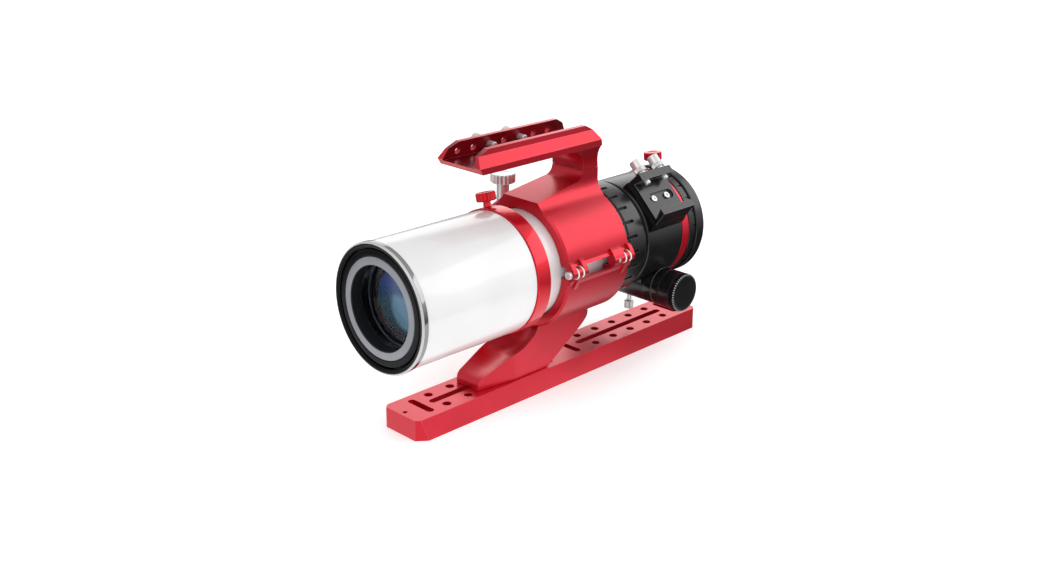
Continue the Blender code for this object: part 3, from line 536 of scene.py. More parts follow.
def dovetail_plate():
    low = [(x, y, 0.0) for x, y in plate_outline(PLATE_BASE_HALF, PLATE_END)]
    high = [(x, y, PLATE_TOP) for x, y in plate_outline(PLATE_TOP_HALF, PLATE_END)]
    plate = loft("plate", [low, high])
    below, above = -1.0, PLATE_TOP
    tools = []
    for end in (-1, 1):
        for station in PLATE_HOLE_STATIONS:
            for side in (-1, 1):
                centre = (side * PLATE_HOLE_X, end * station, 0.0)
                tools.append(countersunk(PLATE_HOLE, centre, ALONG_Z, below, above, 0.3, 32))
        long_slot = slot_outline(49.5, 3.0, (0.0, end * 78.5), True)
        tools.append(prism("slot", long_slot, below, above + 1.0))
        for station in (16.2, 139.5):
            cross_slot = slot_outline(9.8, 3.0, (0.0, end * station), False)
            tools.append(prism("slot", cross_slot, below, above + 1.0))
        tools.append(countersunk(1.6, (0.0, end * 154.5, 0.0), ALONG_Z, 8.0, above, 0.3, 24))
    tools.append(countersunk(2.5, (0.0, 0.0, 0.0), ALONG_Z, 6.0, above, 0.3, 24))
    for station in PLATE_HOLE_STATIONS[:2]:
        for side in (-1, 1):
            tools.append(hole(5.5, (side * PLATE_HOLE_X, -station, 0.0), ALONG_Z, below, 6.5, 32))
    dress(carve(plate, tools), "dovetail_plate", "red", bevel=0.35)


def socket_screw(node, centre, axis, head, shank, look="dark_steel", across=0.0, segments=48):
    """A cap screw; head and shank are (radius, low, high), and the socket opens away from the shank."""
    first, second = sorted((head, shank), key=lambda section: section[1])
    profile = [(0, first[1]), (first[0], first[1]), (first[0], first[2]), (second[0], second[1])]
    profile += [(second[0], second[2]), (0, second[2])]
    depth = 0.6 * (head[2] - head[1])
    socket = (head[1] - 1.0, head[1] + depth) if first == head else (head[2] - depth, head[2] + 1.0)
    screw = turned(node, profile, centre, axis, segments)
    carve(screw, [hexagon(across or head[0], centre, axis, *socket)])
    dress(screw, node, look)


def foot_bolts():
    for number in range(1, 5):
        node = f"foot_bolt_{number}"
        centre = (middle(node, 0), middle(node, 1), 0.0)
        socket_screw(node, centre, ALONG_Z, (4.9, 0.3, 6.2), (2.9, 6.2, 26.0), across=5.0)


# --- The cradle ---

CRADLE_OUTER = 50.3
CRADLE_INNER = 44.0
CRADLE_LIP = 42.4
LIP_DEPTH = 2.0
LOWER_TOP = 100.2
FOOT_BASE = PLATE_TOP + 0.3
FOOT_HALF = 16.2
FOOT_RAMP = ((-24.3, FOOT_BASE), (-4.9, 28.9), (8.0, 36.9), (16.7, 43.3))
RIDGE_HALF = 16.0
FLARE_RADIUS = 15.0
FLARE_Z = 158.2
SEAM_Z = 166.0
SWEEP_START = 3.0
SWEEP_LENGTH = 8.3
FRONT_CHAMFER = 1.7
REAR_CHAMFER = 0.8
UPPER_FOOT_HINGE = 108.6
UPPER_FOOT_CLAMP = 103.4
KNUCKLE = 4.3
UPPER_KNUCKLES = ((CRADLE_FRONT, -35.4), (-28.1, -24.0), (6.0, 17.2), (24.5, CRADLE_REAR))
LOWER_KNUCKLES = ((-33.6, -29.9), (19.0, 22.7))
LOWER_LEAF = [(47.4, 104.0), (47.2, 99.0), (46.5, 94.0), (49.2, 90.2), (52.5, 96.5), (54.8, 100.9)]
LOWER_LEAF += [(55.6, 104.0)]
UPPER_LEAF = [(47.4, 104.8), (47.2, 110.0), (46.2, 113.0), (48.6, 113.9), (51.8, 112.0), (54.6, 108.2)]
UPPER_LEAF += [(55.6, 104.8)]
GRUB_POINT = (0.0, 11.5, HINGE_Z)
WINDOW = (-24.0, 5.8)
WINDOW_CUT = [(48.2, 98.9), (60.0, 98.9), (60.0, 101.5), (42.5, 101.5), (42.5, 95.2)]


def smooth_stations(stations, steps):
    """Fill in between given stations with a smooth curve through them."""
    rows = []
    for i in range(len(stations) - 1):
        before = stations[max(i - 1, 0)]
        start, end = stations[i], stations[i + 1]
        after = stations[min(i + 2, len(stations) - 1)]
        for k in range(steps):
            t = k / steps
            row = []
            for p0, p1, p2, p3 in zip(before, start, end, after):
                bend = (2 * p0 - 5 * p1 + 4 * p2 - p3) * t**2 + (3 * p1 - p0 - 3 * p2 + p3) * t**3
                row.append(0.5 * (2 * p1 + (p2 - p0) * t + bend))
            rows.append(tuple(row))
    rows.append(stations[-1])
    return rows


def foot_sections():
    """The foot along y: underside, edge of the scooped top, middle of the scoop, half width."""
    buried_edge = AXIS_Z - sqrt(47.0**2 - FOOT_HALF**2)
    buried = AXIS_Z - 47.0
    nose = [(-93.9, 20.4, 20.2, 11.6), (-93.4, 22.4, 22.0, 11.7), (-91.9, 24.3, 23.7, 11.9)]
    nose += [(-89.5, 25.7, 24.8, 12.2), (-84.0, 27.9, 26.2, 12.9), (-76.0, 31.0, 27.9, 14.0)]
    nose += [(-68.0, 34.1, 30.2, 15.1), (-60.0, 36.6, 32.5, FOOT_HALF)]
    throat = [(-60.0, 36.6, 32.5), (-50.0, 39.5, 33.8), (-43.0, 44.0, 35.8), (-38.9, 46.6, 37.8)]
    throat += [(-36.5, 50.5, 39.8), (-33.0, buried_edge, 44.0), (-29.5, buried_edge, 49.6)]
    throat += [(-27.0, buried_edge, buried)]
    nose = [(y, FOOT_BASE, edge, scoop, half_width) for y, edge, scoop, half_width in nose]
    throat = [(y, FOOT_BASE, edge, scoop, FOOT_HALF) for y, edge, scoop in throat]
    ramp = [(y, base, buried_edge, buried, FOOT_HALF) for y, base in FOOT_RAMP]
    ramp += [(22.0, 47.2, buried_edge - 0.6, buried, 14.8), (27.0, 51.6, buried_edge - 2.0, buried, 10.0)]
    stations = smooth_stations(nose, 3)[:-1] + smooth_stations(throat, 4) + smooth_stations(ramp, 3)
    steps = [i / 10 for i in range(-10, 11)]
    sections = []
    for y, base, edge, scoop, half_width in stations:
        top = [(half_width * s, y, scoop + (edge - scoop) * s * s) for s in steps]
        sections.append([(half_width, y, base), (-half_width, y, base)] + top)
    return sections


def lower_section(y, outer, inner=CRADLE_INNER):
    rim = LOWER_TOP - AXIS_Z
    outside = arc((0, 0), outer, -6.5, -178.5, 80)
    inside = arc((0, 0), inner, -179.2, -0.8, 80)
    points = [(52.5, rim), (52.1, rim - 1.8), (51.0, rim - 3.9)] + outside
    points += [(-outer, rim), (-inner, rim)] + inside[1:-1] + [(inner, rim)]
    return [(x, y, AXIS_Z + z) for x, z in points]


def lug(low, high):
    end = arc(CLAMP, 8.0, 90, 270, 32)
    outline = end + [(-46.0, CLAMP[1] - 8.0), (-46.0, CLAMP[1] + 8.0)]
    return prism("lug", outline, low, high)


def knuckles(spans, leaf):
    tools = []
    for low, high in spans:
        tools.append(prism("leaf", eased(leaf, 1.5, 5), low, high, in_xz))
        tools.append(hole(KNUCKLE, HINGE, ALONG_Y, low, high, 64))
    return tools


def hinge_pockets(spans):
    return [hole(KNUCKLE + 0.6, HINGE, ALONG_Y, low, high, 64) for low, high in spans]


def hinge_bores(radius):
    return [hole(radius, HINGE, ALONG_Y, -60.0, -20.0), hole(radius, HINGE, ALONG_Y, 6.3, 60.0)]


def lower_cradle():
    lip_end = CRADLE_FRONT + LIP_DEPTH
    stations = [(CRADLE_FRONT, CRADLE_OUTER - FRONT_CHAMFER, CRADLE_LIP + 0.4)]
    stations += [(CRADLE_FRONT + 1.5, CRADLE_OUTER, CRADLE_LIP), (lip_end, CRADLE_OUTER, CRADLE_LIP)]
    stations += [(lip_end + 0.1, CRADLE_OUTER, CRADLE_INNER)]
    stations += [(CRADLE_REAR - REAR_CHAMFER, CRADLE_OUTER, CRADLE_INNER)]
    stations += [(CRADLE_REAR, CRADLE_OUTER - REAR_CHAMFER, CRADLE_INNER)]
    shell = loft("shell", [lower_section(*station) for station in stations])
    carve(shell, hinge_pockets([(CRADLE_FRONT - 1.2, -23.8), (5.8, CRADLE_REAR + 1.2)]))
    fuse(shell, [loft("foot", foot_sections()), lug(90.0, LOWER_TOP)])
    fuse(shell, knuckles(LOWER_KNUCKLES, LOWER_LEAF))
    cuts = hinge_bores(2.15)
    cuts.append(prism("window", WINDOW_CUT, *WINDOW, in_xz))
    cuts.append(hole(3.8, CLAMP, ALONG_Z, 80.0, 102.0))
    dress(carve(shell, cuts), "lower_cradle", "red", bevel=0.25)


def ridge_half_width(z):
    if z >= FLARE_Z:
        return RIDGE_HALF
    return RIDGE_HALF + FLARE_RADIUS - sqrt(FLARE_RADIUS**2 - (FLARE_Z - z) ** 2)


def ridge_slope(y):
    run = y - CRADLE_FRONT
    return 151.2 + 0.1775 * run - 0.00052 * run**2


def ridge_top(y):
    """Height of the ridge: a gentle slope, then a quarter round up to the handle's seam."""
    if y <= SWEEP_START:
        return ridge_slope(y)
    if y >= SWEEP_START + SWEEP_LENGTH:
        return SEAM_Z
    start = ridge_slope(SWEEP_START)
    share = (y - SWEEP_START) / SWEEP_LENGTH
    return start + (SEAM_Z - start) * (1.0 - sqrt(max(0.0, 1.0 - share**2)))


def upper_section(y, outer, top, inner=CRADLE_INNER):
    reach = hypot(RIDGE_HALF + FLARE_RADIUS, FLARE_Z - AXIS_Z)
    foot_z = AXIS_Z + CRADLE_OUTER * (FLARE_Z - AXIS_Z) / reach
    levels = [foot_z + (top - foot_z) * (i / 14) for i in range(1, 15)]
    hinge_rim = UPPER_FOOT_HINGE - AXIS_Z
    clamp_rim = UPPER_FOOT_CLAMP - AXIS_Z
    right = [(outer + 0.8, hinge_rim), (outer + 0.4, hinge_rim + 0.9)]
    right += arc((0, 0), outer, 11.5, 61.7, 28)
    right += [(ridge_half_width(z), z - AXIS_Z) for z in levels]
    left = [(-ridge_half_width(z), z - AXIS_Z) for z in reversed(levels)]
    left += arc((0, 0), outer, 118.3, 176.6, 30)
    left += [(-sqrt(outer**2 - clamp_rim**2), clamp_rim)]
    inside = [(-sqrt(inner**2 - clamp_rim**2), clamp_rim)]
    inside += arc((0, 0), inner, 173.0, 13.5, 70)
    inside += [(sqrt(inner**2 - hinge_rim**2), hinge_rim)]
    return [(x, y, AXIS_Z + z) for x, z in right + left + inside]


def upper_cradle():
    lip_end = CRADLE_FRONT + LIP_DEPTH
    stations = [CRADLE_FRONT, CRADLE_FRONT + 1.5, lip_end, lip_end + 0.1, -30.0, -20.0, -10.0, 0.0]
    stations += [SWEEP_START + SWEEP_LENGTH * sin(pi / 2 * i / 10) for i in range(11)]
    stations += [CRADLE_REAR - REAR_CHAMFER, CRADLE_REAR]
    sections = []
    for y in stations:
        outer = CRADLE_OUTER
        inner = CRADLE_LIP if y <= lip_end else CRADLE_INNER
        if y == CRADLE_FRONT:
            outer -= FRONT_CHAMFER
            inner += 0.4
        if y == CRADLE_REAR:
            outer -= REAR_CHAMFER
        sections.append(upper_section(y, outer, ridge_top(y), inner))
    shell = loft("shell", sections)
    fuse(shell, [lug(UPPER_FOOT_CLAMP, 113.0)])
    carve(shell, hinge_pockets([(-35.3, -28.2), (17.3, 24.4)]))
    fuse(shell, knuckles(UPPER_KNUCKLES, UPPER_LEAF))
    cuts = hinge_bores(2.1)
    cuts.append(hole(3.3, CLAMP, ALONG_Z, 100.0, 120.0))
    cuts.append(hole(5.6, CLAMP, ALONG_Z, 113.0, 120.0))
    cuts.append(hole(1.8, GRUB_POINT, ALONG_X, 53.0, 60.0, 24))
    dress(carve(shell, cuts), "upper_cradle", "red", bevel=0.25)


# --- The handle ---

SADDLE_HALF = 22.0
SADDLE_BASE = 184.3
SADDLE_FLOOR = 188.0
SADDLE_TOP = 200.5
SADDLE_HOLES = [-87.5 + 15.3 * i for i in range(7)]
HANDLE_BOLTS = ((-8.0, 19.5, 0.0), (8.0, 19.5, 0.0))
SADDLE_SCREW_POINT, SADDLE_SCREW_AXIS = JOINTS["saddle_screw_front_turn"]


def saddle_block():
    side = [(-97.7, SADDLE_BASE), (-100.7, 188.8), (-97.7, 196.4), (-88.0, SADDLE_TOP), (12.0, SADDLE_TOP)]
    side += [(19.7, 196.5), (24.5, 189.6), (25.4, SADDLE_BASE)]
    right = [(SADDLE_HALF, SADDLE_BASE - 1), (SADDLE_HALF, 189.0), (17.1, 196.4), (16.7, SADDLE_TOP + 1)]
    right += [(12.3, SADDLE_TOP + 1), (17.0, SADDLE_FLOOR)]
    outline = right + [(-x, z) for x, z in reversed(right)]
    block = prism("saddle", side, -30.0, 30.0, in_yz)
    return combine(block, [prism("channel", outline, -110.0, 40.0, in_xz)], "INTERSECT")


def pillar_section(x, front, rear, z):
    return [(x, front, z), (x, rear, z), (-x, rear, z), (-x, front, z)]


def pillar():
    """The grip's pillar, which spreads forward and sideways under the saddle."""
    base, reach = SEAM_Z + 0.3, SADDLE_BASE - SEAM_Z - 0.3
    sections = []
    for i in range(25):
        share = sin(pi / 2 * i / 24)
        z = base + reach * share
        half_width = 16.0 + 5.6 * share**2.8
        climb = max(0.0, (z - 170.0) / (SADDLE_BASE - 170.0))
        front = 11.2 - 27.0 * (1.0 - max(0.0, 1.0 - climb**2.3) ** (1 / 2.3))
        rear = 27.8 - 2.6 * share
        sections.append(pillar_section(half_width, front, rear, z))
    sections.append(pillar_section(half_width - 0.4, front + 1, rear - 1, SADDLE_BASE + 1.7))
    return loft("pillar", sections)


def handle():
    body = fuse(saddle_block(), [pillar()])
    cuts = []
    for y in SADDLE_HOLES:
        centre = (SADDLE_SCREW_POINT[0], y, SADDLE_SCREW_POINT[2])
        cuts.append(hole(2.6, centre, SADDLE_SCREW_AXIS, -6.0, 14.0, 32))
    for centre in HANDLE_BOLTS:
        cuts.append(hole(2.7, centre, ALONG_Z, 160.0, 190.0))
        cuts.append(hole(4.6, centre, ALONG_Z, 183.2, 190.0))
    dress(carve(body, cuts), "handle", "red", bevel=0.3)
    # Painted shade: the channel's inner walls and floor get a darker red for the shade inside it.
    low, high = SADDLE_FLOOR - 0.2, SADDLE_TOP - 0.4
    paint(body, "red_deep", lambda c: abs(c.x) < 16.9 and low < c.z < high and c.y < 24.0)


def handle_bolts():
    head, shank = (4.2, 183.5, 187.6), (2.4, 150.0, 183.5)
    for number, centre in enumerate(HANDLE_BOLTS, 1):
        socket_screw(f"handle_bolt_{number}", centre, ALONG_Z, head, shank, across=4.0)


def saddle_screws():
    for number, y in ((1, SADDLE_HOLES[2]), (2, SADDLE_HOLES[4])):
        node = f"saddle_screw_{number}"
        profile = [(0, -3.6), (1.9, -3.6), (2.3, -3.2), (2.3, 9.6), (3.2, 9.6), (3.2, 12.4), (4.1, 12.4)]
        profile += [(4.65, 12.9), (4.7, 13.1), (4.7, 17.9), (4.65, 18.1), (4.1, 18.6), (0, 18.6)]
        centre = (SADDLE_SCREW_POINT[0], y, SADDLE_SCREW_POINT[2])
        wave = flutes(24, 0.35, 12.95, 18.05)
        spun(node, "steel", profile, centre, SADDLE_SCREW_AXIS, 192, 0.2, wave)


def hinge_hardware():
    front = [(0, -42.3), (2.5, -42.3), (2.9, -41.9), (2.9, -39.5), (2.0, -39.5), (2.0, -24.6), (0, -24.6)]
    pin = turned("pin", front, HINGE, segments=SMALL_ROUND)
    carve(pin, [hexagon(3.0, HINGE, ALONG_Y, -43.0, -41.0)])
    dress(pin, "hinge_pin_front", "steel")
    rear = [(0, 6.6), (2.0, 6.6), (2.0, 27.4), (0, 27.4)]
    spun("hinge_pin_rear", "steel", rear, HINGE, segments=SMALL_ROUND)
    for number in range(1, 5):
        node = f"hinge_washer_{number}"
        low, high = span(node, 1)
        profile = [(4.6, low), (4.6, high), (2.3, high), (2.3, low)]
        spun(node, "nylon", profile, HINGE, segments=SMALL_ROUND, ease=0.2)
    profile = [(0, 53.9), (1.5, 53.9), (1.5, 55.5), (0, 55.5)]
    grub = turned("grub", profile, GRUB_POINT, ALONG_X, 40, 0.15)
    carve(grub, [hexagon(1.5, GRUB_POINT, ALONG_X, 54.6, 56.0)])
    dress(grub, "hinge_grub_screw", "steel")


def clamp_knob():
    """A long-necked thumb nut with coarse rounded flutes."""
    profile = [(0, 95.0), (2.4, 95.0), (3.0, 95.6), (3.0, 113.3), (4.4, 113.3), (5.0, 114.0), (5.0, 145.0)]
    profile += [(5.6, 146.3), (9.2, 146.3), (9.9, 146.9), (10.0, 147.1), (10.0, 153.1), (9.9, 153.3)]
    profile += [(9.2, 153.9), (5.5, 153.9), (5.2, 153.5), (0, 153.5)]
    wave = flutes(20, 0.9, 146.8, 153.4, 0.7)
    spun("clamp_knob", "steel", profile, CLAMP, ALONG_Z, 240, 0.3, wave)


def felts():
    for node, first, last in (("lower_felt", -179.0, -9.5), ("upper_felt", 12.0, 175.5)):
        outline = arc((0, AXIS_Z), 43.75, first, last, 70) + arc((0, AXIS_Z), 42.25, last, first, 70)
        dress(prism(node, outline, CRADLE_FRONT + LIP_DEPTH + 0.3, CRADLE_REAR - 0.5, in_xz), node, "felt")


# --- The tube and its optics ---


def ring(node, outer, inner, look, ease=0.3):
    low, high = span(node, 1)
    profile = [(outer, low), (outer, high), (inner, high), (inner, low)]
    spun(node, look, profile, ease=ease)


def lens(node, radius, front_edge, front_middle, rear_edge, rear_middle, look):
    steps = 24
    profile = []
    for i in range(steps + 1):
        share = i / steps
        profile.append((radius * share, front_middle + (front_edge - front_middle) * share**2))
    for i in range(steps, -1, -1):
        share = i / steps
        profile.append((radius * share, rear_middle + (rear_edge - rear_middle) * share**2))
    spun(node, look, profile, segments=96, ease=0)


def optical_tube():
    ring("main_tube", TUBE_RADIUS, 39.8, "white")
    cell = [(37.2, -175.0), (41.4, -175.0), (41.9, -174.5), (41.9, -125.0), (37.0, -125.0)]
    cell += [(37.0, -143.0), (30.5, -143.0), (30.5, -147.5), (32.9, -147.5), (32.9, -170.0)]
    spun("lens_cell", "deep_black", cell + [(37.2, -170.0)])
    face = [(34.4, -175.4), (36.3, -175.4), (36.8, -174.9), (36.8, -170.3), (32.6, -170.3)]
    face += [(32.6, -165.3), (30.9, -165.3), (30.6, -174.6), (31.2, -175.2)]
    retainer = spun("lens_retaining_ring", "grey_ring", face, ease=0.2)
    paint(retainer, "matt_black", lambda c: from_axis(c) < 31.1 and c.y > -175.1)
    # Painted highlight: a lighter grey on the inner chamfer, a bright line round the glass.
    paint(retainer, "black_edge", lambda c: from_axis(c) < 31.6 and c.y > -165.6)
    lens("objective_lens_front", 32.5, -165.0, -168.0, -161.4, -159.4, "front_glass")
    lens("objective_lens_middle", 32.5, -160.9, -158.9, -156.0, -156.0, "front_glass")
    # The rear element carries painted reflections of its coatings.
    lens("objective_lens_rear", 32.5, -153.0, -154.6, -148.0, -146.6, "deep_glass")
    spacer_low, spacer_high = span("lens_spacer", 1)
    steps = [(32.6, spacer_low), (32.6, spacer_high), (31.0, spacer_high), (31.0, spacer_low + 0.3)]
    spacer = spun("lens_spacer", "matt_black", steps + [(31.4, spacer_low)], ease=0)
    # Painted highlight: a lighter grey on the spacer's inner rear edge.
    paint(spacer, "black_edge", lambda c: from_axis(c) < 31.5 and c.y < spacer_low + 0.25)
    for node in ("baffle_front", "baffle_rear"):
        low = span(node, 1)[0]
        profile = [(39.5, low), (39.5, low + 5.0), (38.3, low + 5.0), (38.3, low + 1.0)]
        profile += [(27.0, low + 0.6), (27.0, low)]
        spun(node, "matt_black", profile, ease=0.1)
    holder = [(39.5, 0.0), (39.5, 24.0), (37.0, 24.0), (37.0, 19.0), (23.5, 19.0), (23.5, 16.6)]
    holder += [(25.4, 16.6), (25.4, 0.0)]
    spun("corrector_cell", "matt_black", holder)
    # The corrector's glass carries the same painted reflections.
    lens("corrector_lens_front", 25.0, 4.2, 2.6, 8.7, 10.0, "deep_glass")
    lens("corrector_lens_rear", 25.0, 12.6, 11.0, 16.3, 16.3, "deep_glass")
    ring("tube_rear_flange", TUBE_RADIUS, 39.9, "black_turned")


def dew_shield():
    ring("dew_shield", 46.7, 44.5, "white", 0.5)
    trim = [(45.2, -176.3), (46.2, -176.3), (47.0, -175.8), (47.4, -174.9), (47.4, -171.5), (43.3, -171.5)]
    trim += [(43.3, -175.0), (43.9, -175.2), (44.0, -175.9), (44.5, -176.0)]
    rim = spun("dew_shield_trim_ring", "chrome", trim, ease=0.15)
    # Painted highlight: the front rim of the trim is painted bright grey.
    paint(rim, "edge", lambda c: from_axis(c) > 45.9 and c.y < -175.0)
    paint(rim, "deep_black", lambda c: from_axis(c) < 45.9 and c.y < -171.6)
    ring("dew_shield_felt", 44.1, 42.35, "felt")
    clamp = turned("clamp", [(47.7, -68.0), (47.7, -55.0), (42.3, -55.0), (42.3, -68.0)], ease=0.5)
    carve(clamp, [hole(2.3, *JOINTS["dew_lock_turn"], 38.0, 52.0)])
    dress(clamp, "dew_shield_clamp_ring", "red_turned")


LOCK_SCREW_HEAD = [(2.0, 0.4), (3.2, 0.4), (2.8, 2.4), (2.8, 4.2), (6.9, 4.4), (7.45, 4.9), (7.5, 5.1)]
LOCK_SCREW_HEAD += [(7.5, 10.2), (7.45, 10.4), (6.9, 11.0), (3.6, 11.0), (3.3, 10.6), (0, 10.6)]


def lock_screw(node, joint, top, tip):
    """A red thumb screw with a lobed head, standing on a round surface of radius top."""
    profile = [(0, tip), (2.0, tip)] + [(radius, top + rise) for radius, rise in LOCK_SCREW_HEAD]
    wave = flutes(14, 1.1, top + 4.8, top + 10.5, 1.6)
    spun(node, "red_turned", profile, *JOINTS[joint], 224, 0.25, wave)


# --- The focuser ---

BODY_RADIUS = 43.5
BODY_REAR = 101.8
BODY_BORE = 35.35
HOUSING_RADIUS = 15.5
GRIP_NOTCHES = 24
ROTATOR_SLOTS = 24
COLLAR = 7.0
NOTCH_LENGTH = 10.0
NOTCH_HALF = 1.3
KEYWAY = [(-4.4, 61.2), (4.4, 61.2), (4.4, 70.0), (-4.4, 70.0)]


def radial_cutters(outline, turns, floor, rise):
    """Cutters standing round the tube; an outline point is (around, along the tube)."""
    tools = []
    for turn in turns:
        out, side = Vector((cos(turn), 0.0, sin(turn))), Vector((-sin(turn), 0.0, cos(turn)))
        base = Vector(TUBE_AXIS) + out * floor
        sections = []
        for height in (0.0, rise):
            sections.append([base + side * u + Vector((0.0, v, 0.0)) + out * height for u, v in outline])
        tools.append(loft("cutter", sections))
    return tools


def rotation_ring():
    """A grip ring behind a lower collar; finger notches run back from the step between them."""
    low, high = span("rotation_lock_ring", 1)
    outer = half("rotation_lock_ring", 0)
    step = low + COLLAR
    profile = [(outer - 1.1, low), (outer - 1.1, step - 0.4), (outer - 0.4, step), (outer, step + 0.4)]
    profile += [(outer, high - 0.6), (outer - 0.6, high), (42.4, high), (42.4, low)]
    grip = turned("rotation", profile, ease=0.12)
    reach = step + NOTCH_LENGTH - NOTCH_HALF
    notch = [(-NOTCH_HALF, step - 2.0), (NOTCH_HALF, step - 2.0)]
    notch += arc((0.0, reach), NOTCH_HALF, 0, 180, 8)
    turns = [2.0 * pi * (i + 0.1) / GRIP_NOTCHES for i in range(GRIP_NOTCHES)]
    carve(grip, radial_cutters(notch, turns, outer - 1.7, 4.0))
    dress(grip, "rotation_lock_ring", "black", bevel=0.25)
    floor = outer - 1.3
    paint(grip, "deep_black", lambda c: c.y < step + NOTCH_LENGTH and 43.0 < from_axis(c) < floor)


def focuser_body():
    profile = [(36.0, 38.0), (39.6, 38.0), (39.6, 54.0), (41.0, 54.0), (41.5, 54.5), (41.5, 59.2)]
    profile += [(42.6, 59.5), (BODY_RADIUS, 60.2), (BODY_RADIUS, BODY_REAR - 0.3)]
    profile += [(BODY_RADIUS - 0.3, BODY_REAR), (BODY_BORE, BODY_REAR), (BODY_BORE, 56.0), (36.0, 55.6)]
    body = turned("focuser", profile, ease=0.2)
    pad_outline = [(-20.0, 45.2), (20.5, 45.2), (22.0, 40.0)] + arc((0, 0), 39.5, 56.0, 120.0, 24)
    pad = prism("pad", pad_outline, 61.0, 101.4, in_shoe)
    block_outline = [(-24.3, 58.5), (24.3, 58.5)] + arc((0, AXIS_Z), 39.5, -52.0, -128.0, 24)
    block = prism("block", block_outline, 75.6, 101.4, in_xz)
    disc = arc((PINION_Y, PINION_Z), HOUSING_RADIUS, 168.0, 372.0, 72)
    housing = prism("housing", disc, -25.0, 25.0, in_yz)
    carve(housing, [hole(BODY_RADIUS + 0.5, TUBE_AXIS, ALONG_Y, BODY_REAR - 0.3, 112.0, ROUND)])
    fuse(body, [pad, block, housing])
    cuts = [prism("groove", KEYWAY, 56.5, 104.0, in_xz)]
    cuts.append(hole(2.3, (0.0, PINION_Y, 0.0), ALONG_Z, 30.0, 48.5))
    dress(carve(body, cuts), "focuser_body", "black", bevel=0.25)


def stripe_ring():
    low, high = span("focuser_stripe_ring", 1)
    band = turned("stripe", [(BODY_RADIUS, low), (BODY_RADIUS, high), (BODY_BORE, high), (BODY_BORE, low)])
    carve(band, [prism("notch", KEYWAY, 100.0, 112.0, in_xz)])
    dress(band, "focuser_stripe_ring", "red_turned")


SHOE_SCREWS = (75.2, 90.7)
FINDER_JOINTS = ("finder_screw_front_turn", "finder_screw_rear_turn")


def finder_shoe():
    outline = [(-20.0, 45.5), (20.4, 45.5), (18.6, 58.6), (12.9, 58.6), (17.0, 49.0)]
    outline += [(-15.5, 49.0), (-13.5, 58.6), (-20.0, 58.6)]
    shoe = prism("shoe", outline, 63.0, 101.0, in_shoe)
    recess = slot_outline(9.8, 4.1, (-0.5, 83.8), True)
    cuts = [loft("recess", [[in_shoe(t, h, y) for t, y in recess] for h in (47.2, 52.0)])]
    outwards = Vector(in_shoe(0.0, 1.0, 0.0)) - Vector(TUBE_AXIS)
    for y in SHOE_SCREWS:
        cuts.append(hole(1.9, (0.0, y, AXIS_Z), outwards, 44.0, 50.0))
    for joint in FINDER_JOINTS:
        cuts.append(countersunk(2.7, *JOINTS[joint], 10.0, 20.0))
    dress(carve(shoe, cuts), "finder_shoe", "black", bevel=0.3)
    for number, y in enumerate(SHOE_SCREWS, 1):
        node = f"finder_shoe_screw_{number}"
        socket_screw(node, (0.0, y, AXIS_Z), outwards, (2.7, 47.5, 48.7), (1.5, 40.0, 47.5), "steel", 2.5)


def finder_thumbscrews():
    for number, joint in enumerate(FINDER_JOINTS, 1):
        node = f"finder_thumbscrew_{number}"
        profile = [(0, 10.8), (2.0, 10.8), (2.4, 11.2), (2.4, 20.3), (3.3, 20.3), (3.3, 21.6), (4.3, 21.6)]
        profile += [(4.85, 22.0), (4.9, 22.2), (4.9, 25.0), (4.6, 25.2), (4.6, 31.9), (4.2, 32.5)]
        profile += [(0, 32.5)]
        wave = flutes(40, 0.35, 22.1, 25.1)
        spun(node, "steel", profile, *JOINTS[joint], 240, 0.2, wave)


def knob_radius(point):
    return hypot(point.y - PINION_Y, point.z - PINION_Z)


def on_crest(point, count):
    side, up, _ = axis_frame(ALONG_X)
    away = point - Vector((point.x, PINION_Y, PINION_Z))
    return cos(count * atan2(away.dot(up), away.dot(side))) > 0.1


